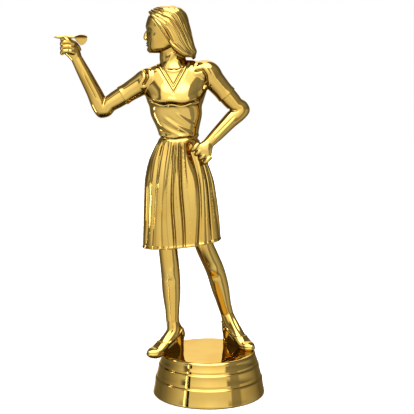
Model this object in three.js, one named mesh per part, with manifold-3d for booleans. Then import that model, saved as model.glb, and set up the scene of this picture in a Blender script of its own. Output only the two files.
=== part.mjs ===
// Figure trophy: a darts player in a blouse and a pleated skirt, on a round base with three steps.
// Millimetres, +Z up. The figure faces -Y and aims the dart along -X. The origin is on the table,
// under the middle of the whole trophy, so the base's own axis stands at x = baseShift.
import * as THREE from 'three';
import { mergeVertices } from 'three/addons/utils/BufferGeometryUtils.js';
import Module from 'manifold-3d';

const wasm = await Module();
wasm.setup();

// Fits
const fitGap = 0.3;
const wall = 1.5;

// Base
const baseRadius = 21.5;
const lowerStep = 7.0;
const middleStep = 5.2;
const upperStep = 4.4;
const stepSetback = 1.35;
const stepFlare = 0.35;
const edgeRadius = 0.7;
const topBeadRadius = 1.2;
const baseWall = 1.8;
const baseTopWall = 2.0;
const ribThickness = 1.3;
const bossWall = 1.7;
const bossClearance = 1.5;
const nutAcrossFlats = 10;
const nutThickness = 5;
const nutBore = 5.1;
const studBore = 6.8;
const studDepth = 10.4;
const retainerLip = 0.83;
const retainerThickness = 0.8;
const retainerRecess = 0.4;
const retainerRim = 1.4;
const retainerSlotWidth = 0.9;
const pegHoleDepth = 6;

// Figure, heights measured from one landmark to the next
const hemHeight = 42.0;
const skirtLength = 40.3;
const bodiceLength = 27.4;
const neckLength = 4.3;
const headHeight = 16.7;
const hemTilt = 6.0;
const skirtHalfWidth = 14.7;
const skirtDepth = 10.0;
const waistHalfWidth = 7.4;
const bustDepth = 9.0;
const shoulderHalfWidth = 12.6;
const bodyX = -12.5;
const hemOffset = 2;
const floorThickness = 2.0;
const floorRecess = 0.8;
const pinRadius = 1.2;
const pinBossRadius = 2.4;
const pinLength = 3.0;
const chestPinHeight = 12;
const hipPinDrop = 20;

// Arms: lengths, and directions in the figure's own plane, in degrees from +X
const shoulderDrop = 5.6;
const raisedUpperArmLength = 20.2;
const raisedForearmLength = 20.6;
const akimboUpperArmLength = 18.9;
const akimboForearmLength = 16.8;
const raisedUpperArm = 211.5;
const raisedForearm = 116.5;
const akimboUpperArm = -48.9;
const akimboForearm = 225.2;
const sleeveLength = 11.6;
const sleeveRadius = 3.8;
const armRadius = 3.15;
const wristRadius = 2.1;
const plugLength = 5;
const fingerRadius = 1.0;
const thumbRadius = 1.15;

// Legs and shoes
const legRadius = 3.7;
const ankleRadius = 2.5;
const shoeLength = 15.2;
const heelHeight = 6.0;
const soleThickness = 1.3;
const webThickness = 1.7;
const pegRadius = 1.3;
const pegLength = 3.2;
const legSpigotRadius = 2.2;
const legSpigotLength = 5.0;
const neckSpigotRadius = 3.0;
const neckSpigotLength = 8.0;
const neckSocketDepth = 12.0;
const neckX = bodyX - 0.4;

// Each leg's joints seen from above, from the base's axis, and the way its toe points in degrees
const feet = [
  {
    hip: [-15.6, -0.6],
    knee: [-14.6, -1.0],
    ankle: [-13.8, 0.2],
    heel: [-11.0, 1.6],
    toeWay: 218,
  },
  {
    hip: [-1.9, 1.4],
    knee: [2.3, 5.6],
    ankle: [7.2, 10.8],
    heel: [7.0, 11.2],
    toeWay: -49.4,
  },
];
const pegOffset = 3.4;

// Dart
const dartLength = 12.4;
const dartForward = 0.72;
const dartRise = 7.7;
const dartRadius = 0.55;
const flightLength = 4.9;
const flightDepth = 3.0;
const flightThickness = 0.45;

// Landmarks
const topZ = lowerStep + middleStep + upperStep;
const hemZ = topZ + hemHeight;
const waistZ = hemZ + skirtLength;
const collarZ = waistZ + bodiceLength;
const chinZ = collarZ + neckLength;
const crownZ = chinZ + headHeight;
const shoulderZ = collarZ - shoulderDrop;
const nutCornerRadius = nutAcrossFlats / 2 / Math.cos(Math.PI / 6);
const retainerRadius = nutCornerRadius + retainerLip;
const bossRadius = retainerRadius + fitGap + bossWall;
const retainerZ = bossClearance + retainerRecess;
const nutZ = retainerZ + retainerThickness + fitGap;

for (const foot of feet) {
  const way = THREE.MathUtils.degToRad(foot.toeWay);
  foot.way = new THREE.Vector3(Math.cos(way), Math.sin(way), 0);
  foot.peg = [foot.heel[0] + foot.way.x * pegOffset, foot.heel[1] + foot.way.y * pegOffset];
}

const gold = { color: 0xd9b24a, roughness: 0.16, metalness: 1.0 };
const steel = { color: 0xb9bcc0, roughness: 0.35, metalness: 1.0 };

const point = (x, y, z) => new THREE.Vector3(x, y, z);
const point2 = (x, y) => new THREE.Vector2(x, y);
const between = (a, b, share) => a + (b - a) * share;
const along = (from, degrees, length, sink = 0) =>
  point(
    from.x + length * Math.cos(THREE.MathUtils.degToRad(degrees)),
    from.y + sink,
    from.z + length * Math.sin(THREE.MathUtils.degToRad(degrees)),
  );

// A three.js geometry as a solid that can be joined and cut.
function solid(geometry) {
  const bare = geometry.clone();
  bare.deleteAttribute('normal');
  bare.deleteAttribute('uv');
  const merged = mergeVertices(bare, 1e-4);
  return new wasm.Manifold(
    new wasm.Mesh({
      numProp: 3,
      vertProperties: merged.attributes.position.array,
      triVerts: Uint32Array.from(merged.index.array),
    }),
  );
}

function join(...solids) {
  return solids.reduce((whole, next) => whole.add(next));
}

function pieceMesh(name, shape, look) {
  const { vertProperties, triVerts } = shape.getMesh();
  const geometry = new THREE.BufferGeometry();
  geometry.setAttribute('position', new THREE.BufferAttribute(vertProperties, 3));
  geometry.setIndex(new THREE.BufferAttribute(triVerts, 1));
  geometry.computeVertexNormals();
  const mesh = new THREE.Mesh(geometry, new THREE.MeshStandardMaterial(look));
  mesh.name = name;
  return mesh;
}

// One section of a limb or a garment: its centre, half width, and depth in front and behind.
const section = (x, y, z, width, front, back = front) => ({ at: point(x, y, z), width, front, back });

const resized = (sections, amount) =>
  sections.map(({ at, width, front, back }) => ({
    at,
    width: width + amount,
    front: front + amount,
    back: back + amount,
  }));

// A closed body carried through its sections: a cylinder whose rings are set along a smooth curve.
function form(sections, { sides = 14, rings = 14, facing = point(0, -1, 0) } = {}) {
  const path = new THREE.CatmullRomCurve3(sections.map(({ at }) => at));
  const sizes = new THREE.CatmullRomCurve3(
    sections.map(({ width, front, back }) => point(width, front, back)),
    false,
    'catmullrom',
    0.5,
  );
  const geometry = new THREE.CylinderGeometry(1, 1, 1, sides, rings);
  const position = geometry.attributes.position;
  const corner = point(0, 0, 0);
  for (let i = 0; i < position.count; i += 1) {
    corner.fromBufferAttribute(position, i);
    const share = Math.min(Math.max(0.5 - corner.y, 0), 1);
    const up = path.getTangent(share).negate();
    const depth = facing.clone().addScaledVector(up, -facing.dot(up)).normalize();
    const side = up.clone().cross(depth);
    const size = sizes.getPoint(share);
    const reach = corner.z > 0 ? size.y : size.z;
    const place = path
      .getPoint(share)
      .addScaledVector(side, corner.x * size.x)
      .addScaledVector(depth, corner.z * reach);
    position.setXYZ(i, place.x, place.y, place.z);
  }
  return solid(geometry);
}

// A round bar between two points.
function rod(from, to, radius, sides = 16) {
  const axis = to.clone().sub(from);
  const geometry = new THREE.CylinderGeometry(radius, radius, axis.length(), sides);
  const turn = new THREE.Quaternion().setFromUnitVectors(point(0, 1, 0), axis.clone().normalize());
  geometry.applyQuaternion(turn);
  geometry.translate(...from.clone().add(to).multiplyScalar(0.5).toArray());
  return solid(geometry);
}

function block(low, high) {
  const size = high.clone().sub(low);
  const geometry = new THREE.BoxGeometry(size.x, size.y, size.z);
  geometry.translate(...low.clone().add(high).multiplyScalar(0.5).toArray());
  return solid(geometry);
}

// A profile of [radius, height] points turned about the vertical axis.
function turned(profile, segments) {
  const geometry = new THREE.LatheGeometry(profile, segments);
  geometry.rotateX(Math.PI / 2);
  return solid(geometry);
}

// Everything above the hem's tilted plane, moved up by the given distance.
function aboveHem(distance, thickness = 200) {
  const geometry = new THREE.BoxGeometry(200, 200, thickness);
  geometry.translate(0, 0, thickness / 2 + distance);
  geometry.rotateY(-THREE.MathUtils.degToRad(hemTilt));
  geometry.translate(bodyX + hemOffset, 0, hemZ);
  return solid(geometry);
}

// ---- Base ----

// Outer steps from the table up: a flared wall, a rounded edge, then the setback of the next step.
function stepOutline(grow = 0) {
  const outline = new THREE.Path();
  outline.moveTo(baseRadius - edgeRadius + grow, 0);
  outline.absarc(baseRadius - edgeRadius, edgeRadius, edgeRadius + grow, -Math.PI / 2, 0, false);
  const tops = [lowerStep, lowerStep + middleStep, topZ];
  tops.forEach((height, index) => {
    const radius = baseRadius - index * stepSetback;
    const bead = index === 2 ? topBeadRadius : edgeRadius;
    const centre = radius - stepFlare - bead;
    outline.lineTo(centre + bead + grow, height - bead);
    outline.absarc(centre, height - bead, bead + grow, 0, Math.PI / 2, false);
  });
  return outline.getPoints(3);
}

function base() {
  const inside = (index) => baseRadius - index * stepSetback - stepFlare - baseWall;
  const outer = [point2(0, 0), ...stepOutline(), point2(0, topZ)];
  const cavity = [
    point2(0, -1),
    point2(inside(0), -1),
    point2(inside(0), lowerStep - baseWall),
    point2(inside(1), lowerStep - baseWall),
    point2(inside(1), lowerStep + middleStep - baseWall),
    point2(inside(2), lowerStep + middleStep - baseWall),
    point2(inside(2), topZ - baseTopWall),
    point2(0, topZ - baseTopWall),
  ];
  let shape = turned(outer, 40).subtract(turned(cavity, 32));
  const ribTop = topZ - baseTopWall / 2;
  const boss = rod(point(0, 0, bossClearance), point(0, 0, ribTop), bossRadius, 24);
  shape = shape.add(boss);
  for (const quarter of [45, 135, 225, 315]) {
    const ribFoot = 2 * bossClearance;
    const rib = new THREE.BoxGeometry(inside(2) - bossRadius + 1, ribThickness, ribTop - ribFoot);
    rib.translate((inside(2) + bossRadius) / 2, 0, (ribTop + ribFoot) / 2);
    rib.rotateZ(THREE.MathUtils.degToRad(quarter));
    shape = shape.add(solid(rib));
  }
  const nutPocket = hexagon(nutAcrossFlats + 2 * fitGap, bossClearance, nutZ + nutThickness + fitGap);
  const retainerSeat = rod(point(0, 0, 0), point(0, 0, nutZ - fitGap / 2), retainerRadius + fitGap, 24);
  const studWay = rod(point(0, 0, 0), point(0, 0, bossClearance + studDepth + fitGap), studBore / 2, 24);
  shape = shape.subtract(nutPocket).subtract(retainerSeat).subtract(studWay);
  for (const foot of feet) {
    const low = point(...foot.peg, topZ - pegHoleDepth);
    const high = point(...foot.peg, topZ + 1);
    shape = shape.subtract(rod(low, high, pegRadius + fitGap));
  }
  return shape;
}

function hexagon(acrossFlats, low, high) {
  const radius = acrossFlats / 2 / Math.cos(Math.PI / 6);
  return rod(point(0, 0, low), point(0, 0, high), radius, 6);
}

function nut() {
  const bore = rod(point(0, 0, 0), point(0, 0, nutZ + nutThickness + 1), nutBore / 2, 20);
  return hexagon(nutAcrossFlats, nutZ, nutZ + nutThickness).subtract(bore);
}

// A push-on washer with three slots, which keeps the nut in its pocket.
function nutRetainer() {
  const low = point(0, 0, retainerZ);
  const high = point(0, 0, retainerZ + retainerThickness);
  let washer = rod(low, high, retainerRadius, 28);
  washer = washer.subtract(rod(point(0, 0, 0), point(0, 0, nutZ), studBore / 2, 20));
  const slotLength = retainerRadius - retainerRim;
  for (const turn of [90, 210, 330]) {
    const slot = new THREE.BoxGeometry(slotLength, retainerSlotWidth, 4);
    slot.translate(slotLength / 2, 0, nutZ);
    slot.rotateZ(THREE.MathUtils.degToRad(turn));
    washer = washer.subtract(solid(slot));
  }
  return washer;
}

// ---- Body ----

// Blouse and skirt in one run from the collar down past the hem.
function bodySections() {
  const skirt = (share) => between(hemZ, waistZ, share);
  const bodice = (share) => between(waistZ, collarZ, share);
  const hipX = (share) => between(bodyX, bodyX + 2.3, share);
  return [
    section(bodyX - 0.4, 0, collarZ, 6.2, 4.2, 5.2),
    section(bodyX - 0.2, 0, collarZ - 1.4, 9.6, 5.0, 5.6),
    section(bodyX, 0, collarZ - 3.4, shoulderHalfWidth, 5.6, 6.2),
    section(bodyX, 0, bodice(0.75), shoulderHalfWidth - 0.1, 6.9, 6.8),
    section(bodyX, 0, bodice(0.58), shoulderHalfWidth - 1.3, bustDepth, 6.8),
    section(bodyX, 0, bodice(0.46), shoulderHalfWidth - 2.6, bustDepth - 0.2, 6.3),
    section(bodyX + 0.4, 0, bodice(0.3), waistHalfWidth + 2.0, bustDepth - 2.2, 5.8),
    section(bodyX + 1.3, 0, waistZ, waistHalfWidth, 6.0, 5.6),
    section(hipX(0.45), 0, skirt(0.87), waistHalfWidth + 1.9, 6.9, 6.9),
    section(hipX(0.4), 0, skirt(0.77), waistHalfWidth + 3.4, 7.7, 8.0),
    section(hipX(0.6), 0, skirt(0.6), skirtHalfWidth - 1.9, 8.6, skirtDepth - 0.6),
    section(hipX(0.8), 0, skirt(0.4), skirtHalfWidth - 1.0, 9.2, skirtDepth - 0.2),
    section(hipX(0.95), 0, skirt(0.2), skirtHalfWidth - 0.4, 9.6, skirtDepth),
    section(hipX(1), 0, skirt(0), skirtHalfWidth, skirtDepth, skirtDepth + 0.2),
    section(hipX(1), 0, hemZ - 6, skirtHalfWidth + 0.1, skirtDepth, skirtDepth + 0.3),
  ];
}

const shoulders = {
  raised: point(bodyX - 9.8, -0.4, shoulderZ - 0.2),
  akimbo: point(bodyX + 11.7, 0, shoulderZ + 2.6),
};

const arms = {
  raised: {
    shoulder: shoulders.raised,
    elbow: along(shoulders.raised, raisedUpperArm, raisedUpperArmLength, -0.8),
  },
  akimbo: {
    shoulder: shoulders.akimbo,
    elbow: along(shoulders.akimbo, akimboUpperArm, akimboUpperArmLength, 0.8),
  },
};
arms.raised.wrist = along(arms.raised.elbow, raisedForearm, raisedForearmLength, -1.0);
arms.akimbo.wrist = along(arms.akimbo.elbow, akimboForearm, akimboForearmLength, -5.2);

// Where the sleeve ends, or a place that far before or past it, on the line of the upper arm.
function onUpperArm(arm, past = 0) {
  const share = (sleeveLength + past) / arm.elbow.distanceTo(arm.shoulder);
  return arm.shoulder.clone().lerp(arm.elbow, share);
}

function sleeve(arm, amount = 0, past = 0) {
  const end = onUpperArm(arm, past);
  const root = arm.shoulder.clone().lerp(point(bodyX, 0, shoulderZ), 0.5);
  const cap = arm.shoulder.clone().lerp(end, 0.35);
  const sections = [
    section(...root.toArray(), sleeveRadius + 0.9, sleeveRadius + 0.9),
    section(...arm.shoulder.toArray(), sleeveRadius + 0.7, sleeveRadius + 0.8),
    section(...cap.toArray(), sleeveRadius + 0.3, sleeveRadius + 0.5),
    section(...end.toArray(), sleeveRadius, sleeveRadius),
  ];
  return form(resized(sections, amount), { sides: 14, rings: 6 });
}

const bodyOuter = form(bodySections(), { sides: 28, rings: 22 });

// The hollow figure body, open at the collar, the sleeves and the hem.
function bodyShell() {
  const hollowTop = bodySections().map((part) => ({ ...part, at: part.at.clone() }));
  hollowTop[0].at.z -= wall;
  hollowTop[1].at.z -= wall;
  const hollow = form(resized(hollowTop, -wall), { sides: 20, rings: 16 });
  const outside = join(bodyOuter, sleeve(arms.raised), sleeve(arms.akimbo));
  const inside = join(hollow, sleeve(arms.raised, -wall, 2), sleeve(arms.akimbo, -wall, 2));
  const socketLow = point(neckX, 0, collarZ - neckSocketDepth);
  const neckWay = rod(socketLow, point(neckX, 0, collarZ + 2), neckSpigotRadius + fitGap);
  return outside.subtract(inside).subtract(neckWay).intersect(aboveHem(0));
}

// Where the two halves are pinned together.
const pinPlaces = [point(bodyX, 0, waistZ + chestPinHeight), point(bodyX, 0, waistZ - hipPinDrop)];

function bodyHalf(shell, side) {
  const reach = 60;
  const low = side < 0 ? -reach : fitGap / 2;
  const high = side < 0 ? -fitGap / 2 : reach;
  const half = block(point(-reach, low, 0), point(reach, high, crownZ));
  let shape = shell.intersect(half);
  for (const place of pinPlaces) {
    const far = place.clone().setY(side * reach);
    shape = shape.add(rod(place, far, pinBossRadius).intersect(bodyOuter).intersect(half));
  }
  return shape;
}

function bodyFront(shell) {
  const pins = pinPlaces.map((place) =>
    rod(place.clone().setY(-pinLength), place.clone().setY(pinLength), pinRadius),
  );
  return join(bodyHalf(shell, -1), ...pins);
}

function bodyBack(shell) {
  const sockets = pinPlaces.map((place) =>
    rod(place.clone().setY(-1), place.clone().setY(pinLength + fitGap), pinRadius + fitGap),
  );
  return sockets.reduce((shape, socket) => shape.subtract(socket), bodyHalf(shell, 1));
}

// The plate that closes the skirt and holds both legs.
function skirtFloor() {
  let plate = form(resized(bodySections(), -wall - fitGap), { sides: 28, rings: 22 });
  plate = plate.intersect(aboveHem(floorRecess, floorThickness));
  for (const foot of feet) {
    const low = point(...foot.hip, hemZ - 8);
    const high = point(...foot.hip, hemZ + 12);
    plate = plate.subtract(rod(low, high, legSpigotRadius + fitGap));
  }
  return plate;
}

// ---- Head ----

function head() {
  const faceWay = { sides: 18, rings: 16, facing: point(-1, 0, 0) };
  const level = (share) => between(chinZ, crownZ, share);
  const headX = neckX - 1.5;
  const skull = form(
    [
      section(headX, 0, crownZ, 1.0, 1.0),
      section(headX, 0, level(0.95), 4.3, 4.8, 4.2),
      section(headX, 0, level(0.82), 6.3, 7.3, 5.2),
      section(headX, 0, level(0.65), 7.1, 8.6, 6.0),
      section(headX, 0, level(0.4), 7.1, 8.9, 6.8),
      section(headX, 0, level(0.18), 6.0, 8.7, 7.0),
      section(headX, 0, level(0.06), 4.6, 8.2, 6.0),
      section(headX, 0, level(0), 3.2, 7.4, 4.0),
    ],
    faceWay,
  );
  const hair = form(
    [
      section(headX + 1.5, 0, level(0.86), 5.0, 3.4, 3.2),
      section(headX + 2.2, 0, level(0.65), 7.0, 4.2, 4.0),
      section(headX + 2.8, 0, level(0.35), 7.4, 4.4, 4.7),
      section(headX + 3.6, 0, level(0.08), 7.0, 4.4, 5.1),
      section(headX + 4.0, 0, level(-0.05), 5.8, 3.4, 4.4),
      section(headX + 4.2, 0, level(-0.1), 3.6, 2.0, 2.6),
    ],
    { ...faceWay, rings: 12 },
  );
  const nose = form(
    [
      section(headX - 7.9, 0, level(0.52), 0.5, 0.9, 0.6),
      section(headX - 8.6, 0, level(0.4), 0.9, 1.0, 0.8),
      section(headX - 8.9, 0, level(0.34), 1.1, 1.3, 0.8),
      section(headX - 8.3, 0, level(0.29), 0.7, 0.7, 0.5),
    ],
    { sides: 8, rings: 6, facing: point(-1, 0, 0) },
  );
  const neck = form(
    [
      section(headX + 0.6, 0, level(0.2), 4.3, 4.2, 4.6),
      section(neckX - 0.4, 0, chinZ - 1.2, 4.2, 4.5, 4.6),
      section(neckX, 0, collarZ + fitGap, 5.0, 5.0, 4.9),
    ],
    { sides: 18, rings: 6, facing: point(-1, 0, 0) },
  );
  const spigotLow = point(neckX, 0, collarZ - neckSpigotLength);
  const spigot = rod(spigotLow, point(neckX, 0, chinZ), neckSpigotRadius);
  return join(skull, hair, nose, neck, spigot);
}

// ---- Arms ----

// An arm below its sleeve.
function bareArm(arm) {
  const start = onUpperArm(arm, fitGap);
  const next = onUpperArm(arm, 2.5);
  const upper = next.clone().lerp(arm.elbow, 0.5);
  const middle = arm.elbow.clone().lerp(arm.wrist, 0.35);
  const lower = arm.elbow.clone().lerp(arm.wrist, 0.7);
  return form(
    [
      section(...start.toArray(), armRadius, armRadius),
      section(...next.toArray(), armRadius, armRadius),
      section(...upper.toArray(), armRadius, armRadius + 0.1),
      section(...arm.elbow.toArray(), armRadius + 0.2, armRadius),
      section(...middle.toArray(), armRadius - 0.3, armRadius - 0.3),
      section(...lower.toArray(), wristRadius + 0.4, wristRadius + 0.3),
      section(...arm.wrist.toArray(), wristRadius, wristRadius - 0.2),
    ],
    { sides: 12, rings: 16 },
  );
}

// The plug that holds an arm inside its sleeve.
function armPlug(arm) {
  const plugRadius = sleeveRadius - wall - fitGap;
  return rod(onUpperArm(arm, -plugLength), onUpperArm(arm, plugLength / 2), plugRadius, 14);
}

const dartAt = arms.raised.wrist.clone().add(point(0.7, -0.9, dartRise));
const dartTip = dartAt.x - dartLength * dartForward;
const dartTail = dartTip + dartLength;

function finger(points, radius) {
  const tip = points.length - 1;
  const sections = points.map((at, index) => {
    const thick = index === tip ? radius * 0.55 : radius;
    return section(...at.toArray(), thick, thick);
  });
  return form(sections, { sides: 8, rings: 7 });
}

// The raised arm: palm towards the face, the dart pinched between thumb and forefinger.
function raisedArm() {
  const { wrist } = arms.raised;
  const place = (x, y, z) => point(wrist.x + x, wrist.y + y, wrist.z + z);
  const palm = form(
    [
      section(...wrist.toArray(), wristRadius, wristRadius - 0.2),
      section(...place(-1.2, 0, 2.2).toArray(), 2.7, 2.2),
      section(...place(-2.8, -0.2, 4.4).toArray(), 3.0, 2.6, 2.2),
      section(...place(-3.8, -0.4, 6.2).toArray(), 2.2, 2.2, 1.8),
      section(...place(-4.2, -0.6, dartRise - 0.4).toArray(), 1.2, 1.4),
    ],
    { sides: 12, rings: 8 },
  );
  const fingers = [0, 1, 2].map((index) => {
    const drop = index * 1.5;
    const knuckle = place(-1.8, -2.0, 5.4 - drop);
    const bend = place(-4.4, -2.2, 5.7 - drop);
    return finger([knuckle, bend, place(-4.8, -0.7, 5.1 - drop)], fingerRadius);
  });
  const forefinger = finger(
    [place(-1.6, -1.8, 5.2), place(-3.2, -2.3, dartRise - 0.6), place(-5.0, -1.5, dartRise)],
    fingerRadius,
  );
  const thumb = finger(
    [place(0.6, 0.2, 2.4), place(-0.8, 0.2, 4.8), place(-4.4, 0.1, dartRise)],
    thumbRadius,
  );
  const grip = rod(dartAt.clone().setX(dartTip - 2), dartAt.clone().setX(dartTail + 2), dartRadius + fitGap);
  const reach = flightDepth + fitGap;
  const clear = flightThickness / 2 + fitGap;
  const flightFrom = dartTail - flightLength - fitGap;
  const levelSlot = block(
    point(flightFrom, dartAt.y - reach, dartAt.z - clear),
    point(dartTail + 1, dartAt.y + reach, dartAt.z + clear),
  );
  const downSlot = block(
    point(flightFrom, dartAt.y - clear, dartAt.z - reach),
    point(dartTail + 1, dartAt.y + clear, dartAt.z),
  );
  return join(bareArm(arms.raised), armPlug(arms.raised), palm, ...fingers, forefinger, thumb)
    .subtract(grip)
    .subtract(levelSlot)
    .subtract(downSlot);
}

// The other arm: bent out, with the loose fist resting on the hip.
function akimboArm() {
  const { wrist } = arms.akimbo;
  const place = (x, y, z) => point(wrist.x + x, wrist.y + y, wrist.z + z);
  const fist = form(
    [
      section(...wrist.toArray(), wristRadius, wristRadius - 0.2),
      section(...place(-1.7, -0.8, -1.9).toArray(), 2.9, 2.0),
      section(...place(-3.4, -1.3, -3.8).toArray(), 3.9, 2.2),
      section(...place(-4.7, -1.3, -5.2).toArray(), 4.0, 2.1),
      section(...place(-5.6, -1.1, -6.1).toArray(), 2.6, 1.3),
    ],
    { sides: 14, rings: 9 },
  );
  const fingers = [0, 1, 2, 3].map((index) => {
    const root = place(-6.4 + index * 1.55, -2.3, -2.6 - index * 1.6);
    const knuckle = root.clone().add(point(-1.2, 0, -1.2));
    return finger([root, knuckle, knuckle.clone().add(point(-0.5, 1.5, -0.5))], fingerRadius);
  });
  const body = form(resized(bodySections(), fitGap), { sides: 28, rings: 22 });
  const arm = join(bareArm(arms.akimbo), fist, ...fingers).subtract(body);
  return arm.add(armPlug(arms.akimbo));
}

// The dart lies along X: a leaf point, a barrel, and a flight with one fin down and two level.
function dart() {
  const tip = -dartLength * dartForward;
  const tail = tip + dartLength;
  const profile = [
    point2(0, tip),
    point2(dartRadius * 0.55, tip + 0.8),
    point2(dartRadius, tip + 2.2),
    point2(dartRadius * 0.75, tip + 3.6),
    point2(dartRadius, tip + 5.0),
    point2(dartRadius, tail - 0.4),
    point2(dartRadius * 0.6, tail),
    point2(0, tail),
  ];
  let shape = turned(profile, 12);
  const outline = new THREE.Shape();
  outline.moveTo(0, 0);
  outline.lineTo(flightLength, 0);
  outline.lineTo(flightLength, flightDepth * 0.35);
  outline.quadraticCurveTo(flightLength * 0.82, flightDepth, flightLength * 0.5, flightDepth);
  outline.lineTo(0, 0);
  for (const turn of [0, 90, -90]) {
    const fin = new THREE.ExtrudeGeometry(outline, {
      depth: flightThickness,
      bevelEnabled: false,
      curveSegments: 5,
    });
    fin.translate(0, 0, -flightThickness / 2);
    fin.rotateZ(Math.PI / 2);
    fin.rotateY(THREE.MathUtils.degToRad(turn + 180));
    fin.translate(0, tail - flightLength, 0);
    fin.rotateX(Math.PI / 2);
    shape = shape.add(solid(fin));
  }
  return shape;
}

// ---- Legs ----


// A leg from the skirt floor down, with its high-heeled shoe, the web that stiffens the arch,
// a spigot for the skirt floor and a peg for the base.
function leg(foot) {
  const heel = point(...foot.heel, topZ + fitGap);
  const spot = (forward, rise) => heel.clone().addScaledVector(foot.way, forward).add(point(0, 0, rise));
  const shin = (share) => between(topZ + heelHeight + 4.5, hemZ, share);
  const calf = [0, 1].map((axis) => between(foot.knee[axis], foot.ankle[axis], 0.5));
  const shank = form(
    [
      section(...foot.hip, hemZ + 8, legRadius - 0.2, legRadius, legRadius),
      section(...foot.hip, hemZ - 0.5, legRadius - 0.1, legRadius, legRadius),
      section(...foot.knee, shin(0.6), legRadius, legRadius - 0.4, legRadius + 0.6),
      section(...calf, shin(0.3), legRadius - 0.6, legRadius - 0.9, legRadius + 0.2),
      section(...foot.ankle, shin(0.03), ankleRadius, ankleRadius),
      section(...spot(1.4, heelHeight + 0.8).toArray(), ankleRadius - 0.2, ankleRadius - 0.2),
    ],
    { sides: 16, rings: 20 },
  );
  const instep = form(
    [
      section(...foot.ankle, topZ + heelHeight + 5.5, ankleRadius, ankleRadius),
      section(...spot(3.4, heelHeight + 1.4).toArray(), ankleRadius + 0.1, ankleRadius),
      section(...spot(7.4, heelHeight * 0.5 + 0.9).toArray(), ankleRadius + 0.2, 1.9, 1.7),
      section(...spot(10.6, soleThickness + 0.4).toArray(), ankleRadius + 0.4, 1.6, 2.6),
      section(...spot(13.4, 1.0).toArray(), ankleRadius - 0.2, 1.3, 2.0),
      section(...spot(shoeLength, 0.9).toArray(), 0.7, 0.6, 0.6),
    ],
    { sides: 14, rings: 16, facing: point(0, 0, 1).addScaledVector(foot.way, 0.4) },
  );
  const counter = form(
    [
      section(...foot.ankle, topZ + heelHeight + 5.0, ankleRadius - 0.3, ankleRadius - 0.3),
      section(...spot(0.9, heelHeight + 0.6).toArray(), 2.2, 2.2),
      section(...spot(0.7, heelHeight - 1.2).toArray(), 2.0, 1.9),
      section(...spot(0.2, 1.8).toArray(), 1.2, 1.2),
      section(...spot(0, 0).toArray(), 1.1, 1.1),
    ],
    { sides: 12, rings: 10, facing: foot.way.clone() },
  );
  const outline = new THREE.Shape();
  outline.moveTo(0, 0);
  outline.lineTo(shoeLength * 0.62, 0);
  outline.lineTo(shoeLength * 0.62, soleThickness);
  outline.quadraticCurveTo(shoeLength * 0.35, heelHeight * 0.6, shoeLength * 0.2, heelHeight);
  outline.lineTo(0, heelHeight);
  const web = new THREE.ExtrudeGeometry(outline, {
    depth: webThickness,
    bevelEnabled: false,
    curveSegments: 6,
  });
  web.translate(0, 0, -webThickness / 2);
  web.rotateX(Math.PI / 2);
  web.rotateZ(THREE.MathUtils.degToRad(foot.toeWay));
  web.translate(...heel.toArray());
  const shoe = join(shank, instep, counter, solid(web));
  const trimmed = shoe
    .subtract(turned(baseBlank(fitGap), 40))
    .subtract(aboveHem(floorRecess - fitGap));
  const spigotTop = point(...foot.hip, hemZ + legSpigotLength);
  const spigot = rod(point(...foot.hip, hemZ - 3), spigotTop, legSpigotRadius);
  const pegLow = point(...foot.peg, topZ - pegLength);
  const peg = rod(pegLow, point(...foot.peg, topZ + 1.2), pegRadius, 12);
  return join(trimmed, spigot, peg);
}

// The base as a plain body, grown by a gap, for trimming the shoes that stand on it.
function baseBlank(gap) {
  return [point2(0, -gap), ...stepOutline(gap), point2(0, topZ + gap)];
}

// ---- Assembly ----

const trophy = new THREE.Group();
const standing = new THREE.Group();
trophy.add(standing);

const shell = bodyShell();
const pieces = [
  ['base', base(), gold],
  ['nut', nut(), steel],
  ['nut_retainer', nutRetainer(), steel],
  ['body_front', bodyFront(shell), gold],
  ['body_back', bodyBack(shell), gold],
  ['skirt_floor', skirtFloor(), gold],
  ['head', head(), gold],
  ['arm_raised', raisedArm(), gold],
  ['arm_akimbo', akimboArm(), gold],
  ['leg_right', leg(feet[0]), gold],
  ['leg_left', leg(feet[1]), gold],
];
for (const [name, shape, look] of pieces) {
  standing.add(pieceMesh(name, shape, look));
}

const dartMesh = pieceMesh('dart', dart(), gold);
dartMesh.position.copy(dartAt);
dartMesh.rotation.set(0, Math.PI / 2, 0);
standing.add(dartMesh);

// The dart's tip reaches furthest to -X and the base to +X, so the middle lies halfway.
const baseShift = -(dartTip + baseRadius) / 2;
standing.position.x = baseShift;

export default trophy;
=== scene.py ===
import math
import bmesh
import bpy
import numpy as np
from mathutils import Matrix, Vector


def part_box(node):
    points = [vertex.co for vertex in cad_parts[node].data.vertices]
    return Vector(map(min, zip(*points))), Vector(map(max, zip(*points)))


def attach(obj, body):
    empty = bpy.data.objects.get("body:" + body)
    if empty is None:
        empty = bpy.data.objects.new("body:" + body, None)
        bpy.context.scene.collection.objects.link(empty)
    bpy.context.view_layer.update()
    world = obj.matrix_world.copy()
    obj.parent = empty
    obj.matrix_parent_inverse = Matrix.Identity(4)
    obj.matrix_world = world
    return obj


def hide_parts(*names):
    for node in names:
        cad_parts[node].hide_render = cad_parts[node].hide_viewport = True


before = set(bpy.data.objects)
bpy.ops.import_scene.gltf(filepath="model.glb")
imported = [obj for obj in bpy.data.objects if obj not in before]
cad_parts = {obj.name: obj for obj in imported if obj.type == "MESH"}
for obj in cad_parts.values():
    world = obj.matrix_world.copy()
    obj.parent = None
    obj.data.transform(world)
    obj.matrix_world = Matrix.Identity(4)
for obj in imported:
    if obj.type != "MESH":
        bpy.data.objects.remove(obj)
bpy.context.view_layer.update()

# Lengths below are millimetres from the base's own axis and the table; place() makes them metres.
baseLow, baseHigh = (np.array(corner) * 1000 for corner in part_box("base"))
dartLow, dartHigh = (np.array(corner) * 1000 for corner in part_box("dart"))
axisX = (baseLow[0] + baseHigh[0]) / 2
baseRadius = (baseHigh[0] - baseLow[0]) / 2
topZ = baseHigh[2]
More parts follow.
